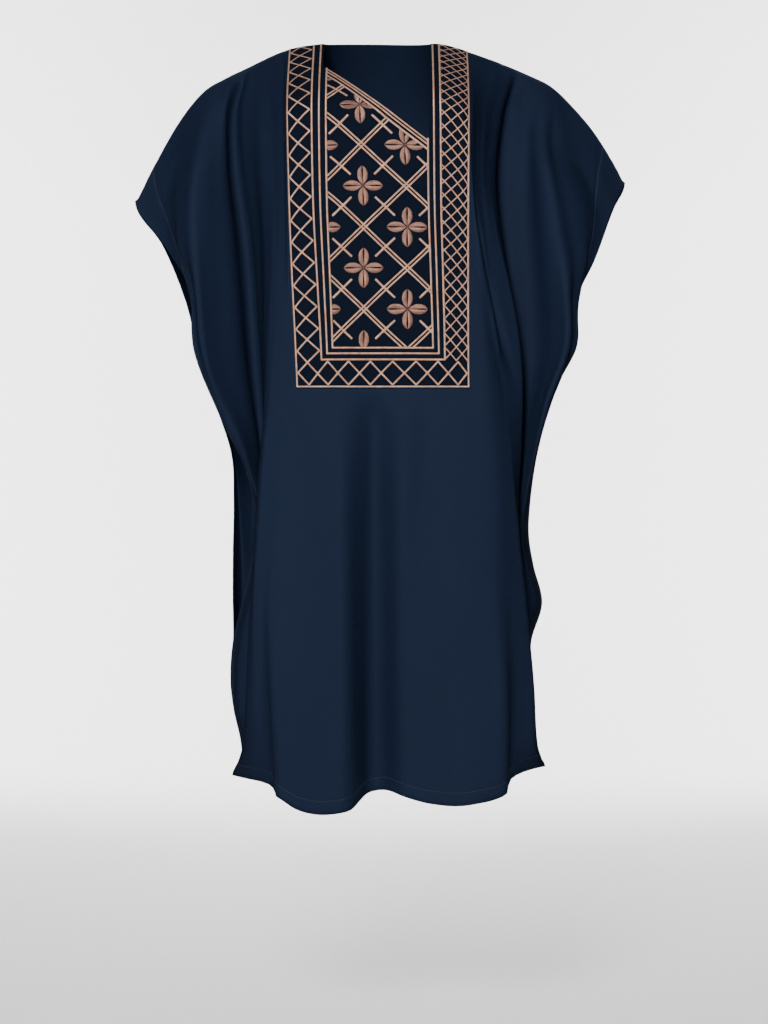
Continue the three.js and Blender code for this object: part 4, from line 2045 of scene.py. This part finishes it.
@dataclass(frozen=True)
class Lamp:
    """A soft area light.

    Args:
        name: Its name.
        place: Where it stands, in metres.
        size: Its width and height.
        power: Its power in watts.
        color: Its colour.
        aim: The point that it is turned to, in metres.
        glints: Whether glossy surfaces show it.
    """

    name: str
    place: tuple[float, float, float]
    size: tuple[float, float]
    power: float
    color: tuple[float, float, float] = (1.0, 1.0, 1.0)
    aim: tuple[float, float, float] = (0.0, 0.0, -0.6)
    glints: bool = True


class Studio:
    """The pale backdrop, the lights and the camera.

    The surround lights the robe dimly. The camera sees it as pale as the lit paper instead.
    """

    surrounds: tuple[dict[str, object], ...] = (
        {"Color": (0.85, 0.88, 0.92, 1.0), "Strength": 0.06},
        {"Color": (1.0, 1.0, 1.0, 1.0), "Strength": 2.3},
    )

    lamps: tuple[Lamp, ...] = (
        Lamp("key", (-0.6, -4.0, 0.9), (0.9, 0.9), 228.0, (1.0, 0.98, 0.95)),
        Lamp("fill", (-0.9, -4.2, 0.3), (1.4, 1.4), 20.0, (0.93, 0.96, 1.0)),
        Lamp("top", (-0.2, -0.9, 2.4), (1.2, 1.2), 8.0),
        Lamp("wall left", (-2.4, 4.0, 0.8), (1.6, 2.6), 255.0, aim=(-1.6, 6.0, 0.1), glints=False),
        Lamp("wall right", (2.4, 4.0, 0.8), (1.6, 2.6), 255.0, aim=(1.6, 6.0, 0.1), glints=False),
        Lamp("floor", (0.0, 3.4, 2.0), (3.0, 2.0), 250.0, aim=(0.0, 1.9, -1.52), glints=False),
    )

    def __init__(self, sizes: StudioSizes) -> None:
        """Describes the studio.

        Args:
            sizes: Its sizes.
        """
        self.sizes = sizes

    def backdrop(self) -> bpy.types.Object:
        """A floor that curves up into a wall.

        Returns:
            The paper, staged.
        """
        sizes = self.sizes
        turn = np.linspace(0, math.pi / 2, sizes.cove_steps)
        wall, cove, low = sizes.wall_back, sizes.cove, sizes.floor_up
        section = [(sizes.front, low), (wall - cove, low)]
        section += [
            (wall - cove + cove * math.sin(a), low + cove - cove * math.cos(a)) for a in turn
        ]
        section += [(wall, sizes.wall_top)]
        vertices = [(x, y, z) for y, z in section for x in (-sizes.wide, sizes.wide)]
        faces = [(2 * i, 2 * i + 1, 2 * i + 3, 2 * i + 2) for i in range(len(section) - 1)]
        mesh = bpy.data.meshes.new("backdrop")
        mesh.from_pydata(vertices, [], faces)
        piece = link_mesh("backdrop", mesh, PAPER.build())
        piece.visible_glossy = False
        return piece

    def light(self) -> None:
        """Adds the soft lamps, which the camera doesn't see."""
        for lamp in self.lamps:
            data = bpy.data.lights.new(lamp.name, "AREA")
            data.shape = "RECTANGLE"
            data.size, data.size_y = lamp.size
            data.energy, data.color = lamp.power, lamp.color
            light = placed(lamp.name, data)
            light.location = lamp.place
            light.visible_camera = False
            light.visible_glossy = lamp.glints
            way = Vector(lamp.aim) - light.location
            light.rotation_euler = way.to_track_quat("-Z", "Y").to_euler()

    def surround(self) -> None:
        """Adds a dim surround, which the camera sees as pale as the lit paper."""
        world = bpy.data.worlds.new("surround")
        world.use_nodes = True
        nodes = NodeBuilder(world.node_tree)
        dim, seen = (
            nodes.add("ShaderNodeBackground", look).outputs["Background"]
            for look in self.surrounds
        )
        to_camera = nodes.add("ShaderNodeLightPath").outputs["Is Camera Ray"]
        mix = nodes.add("ShaderNodeMixShader", {"Fac": to_camera, 1: dim, 2: seen})
        nodes.add("ShaderNodeOutputWorld", {"Surface": mix.outputs["Shader"]})
        bpy.context.scene.world = world

    def camera(self) -> None:
        """Adds the camera where the photograph was taken from."""
        sizes = self.sizes
        data = bpy.data.cameras.new("camera")
        data.sensor_width = sizes.sensor
        data.lens = sizes.sensor * sizes.camera_away / sizes.view_height
        data.clip_end = sizes.clip
        camera = placed("camera", data)
        camera.location = (sizes.camera_out, -sizes.camera_away, sizes.camera_up)
        camera.rotation_euler = (math.pi / 2, 0, 0)
        bpy.context.scene.camera = camera


NAVY = ClothFinish(
    "navy_suiting",
    color=(0.0078, 0.0130, 0.0300),
    thread=0.42,
    weave=0.45,
    roughness=0.5,
    gloss=0.05,
    gloss_color=(0.62, 0.78, 1.0),
    mottle=0.05,
    hem=20.0,
)
NAVY_GROUND = ClothFinish(
    "navy_ground",
    color=(0.0036, 0.0062, 0.0135),
    thread=0.42,
    weave=0.45,
    roughness=0.75,
    gloss=0.03,
    gloss_color=(0.62, 0.78, 1.0),
    mottle=0.05,
)
COPPER = ThreadFinish(
    "copper_thread",
    color=(0.74, 0.455, 0.32),
    # Painted shade on random lengths of the thread.
    shade=(0.22, 0.105, 0.068),
    roughness=0.32,
    metallic=0.5,
)
COPPER_FILL = ThreadFinish(
    "copper_fill_thread",
    color=(0.46, 0.235, 0.165),
    # Painted shade on random lengths of the thread.
    shade=(0.15, 0.068, 0.048),
    roughness=0.38,
    metallic=0.45,
)
NAVY_THREAD = ThreadFinish(
    "navy_thread",
    color=(0.0085, 0.0150, 0.0340),
    # Painted shade on random lengths of the thread.
    shade=(0.0050, 0.0090, 0.0210),
    roughness=0.5,
    metallic=0.0,
)
PAPER = PlainFinish("backdrop_paper", (0.88, 0.88, 0.88))

SATIN = StitchFinish(pitch=1.0, height=0.55, thread=1.12)
FILL = StitchFinish(pitch=1.45, height=0.5, thread=1.0)
RUNNING = StitchFinish(pitch=3.3, height=0.35, thread=0.55)

FRONT_RELIEF = Relief(
    ripples=(
        Ripple(62, 430, 1.8, 11),
        Ripple(27, 190, 0.7, 12),
        Ripple(15, 60, 0.2, 13),
    ),
    creases=(
        Crease((-10, 430), (-6, 1560), 19, -15.0),
        Crease((34, 440), (34, 1560), 22, 11.0),
        Crease((-58, 520), (-62, 1560), 22, 9.0),
        Crease((-165, 840), (-164, 1500), 4.5, 4.5),
        Crease((168, 860), (170, 1500), 4.5, 4.5),
        Crease((-194, 500), (-198, 1400), 14, 9.0),
        Crease((-304, -160), (-306, 800), 13, -14.0),
        Crease((-330, -120), (-338, 760), 15, 6.0),
        Crease((-392, 60), (-394, 640), 12, 5.0),
        Crease((-236, 60), (-246, 700), 14, 4.0),
        Crease((132, 150), (255, 620), 8, -6.0),
        Crease((112, 150), (232, 620), 10, 5.0),
        Crease((306, -120), (312, 760), 14, -14.0),
        Crease((352, 60), (350, 700), 15, -9.0),
        Crease((395, 20), (420, 460), 9, -6.0),
        Crease((404, 300), (398, 700), 12, 6.0),
    ),
    chest_share=0.3,
)
BACK_RELIEF = Relief(
    ripples=(
        Ripple(66, 400, 2.4, 21),
        Ripple(29, 200, 0.8, 22),
        Ripple(15, 60, 0.2, 23),
    ),
    creases=(
        Crease((-30, 120), (-46, 1560), 24, -7.0),
        Crease((22, 240), (30, 1560), 20, 5.0),
        Crease((96, 60), (112, 1500), 22, -7.0),
        Crease((-118, 90), (-132, 1560), 19, 6.0),
        Crease((-176, 200), (-182, 1400), 14, -6.0),
        Crease((160, 260), (172, 1560), 17, 6.0),
        Crease((-262, -80), (-240, 820), 15, -8.0),
        Crease((-312, 20), (-300, 720), 14, 6.0),
        Crease((236, -60), (226, 900), 14, -7.0),
        Crease((296, 40), (280, 640), 17, 6.0),
        Crease((-396, 60), (-380, 560), 12, 5.0),
        Crease((390, 100), (372, 620), 11, -5.0),
        Crease((-150, 40), (-60, 420), 12, 3.5),
        Crease((170, 50), (70, 380), 13, -3.5),
    ),
)


def main() -> None:
    """Builds the robe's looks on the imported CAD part."""
    logging.basicConfig(level=logging.INFO, format="%(name)s: %(message)s")
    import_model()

    sizes, neck, grid = RobeSizes(), NeckSizes(), GridSizes()
    front_sheet = HangingSheet(Side.FRONT, FRONT_FOLDS, FRONT_RELIEF, sizes, neck, grid)
    back_sheet = HangingSheet(Side.BACK, BACK_FOLDS, BACK_RELIEF, sizes, neck, grid)
    for label, sheet in (("front", front_sheet), ("back", back_sheet)):
        LOG.info("%s developed width, length, area: %s", label, sheet.developed())

    opening = NeckCut(neck)
    plastron = Plastron(front_sheet, NAVY_GROUND, opening, PlastronSizes())
    for panel in (
        ClothPanel("front_cloth", "front_panel", "robe_cloth", front_sheet, NAVY, opening),
        ClothPanel("back_cloth", "back_panel", "robe_cloth", back_sheet, NAVY),
        plastron,
    ):
        piece = panel.mesh()
        panel.dress(piece)

    embroidery = Embroidery(EmbroideryPlan(), plastron)
    for name, bands, stitch, thread in (
        ("embroidered_frame", embroidery.frame(), SATIN, COPPER),
        ("embroidered_border", embroidery.chain() + embroidery.net(), SATIN, COPPER),
        ("embroidered_trellis", embroidery.trellis(), SATIN, COPPER),
        ("embroidered_flowers", embroidery.flowers(), FILL, COPPER_FILL),
    ):
        piece = StitchRow(name, stitch, thread).mesh(bands, front_sheet, plastron.lift)
        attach(piece, "root")

    seams = SeamSizes()
    for name, sheet in (("front", front_sheet), ("back", back_sheet)):
        row = StitchRow(f"{name}_topstitching", RUNNING, NAVY_THREAD)
        piece = row.mesh(Topstitching(sheet, seams).rows(), sheet, seams.lift)
        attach(piece, "root")

    studio = Studio(StudioSizes())
    studio.backdrop()
    studio.light()
    studio.surround()
    studio.camera()


if __name__ == "__main__":
    main()
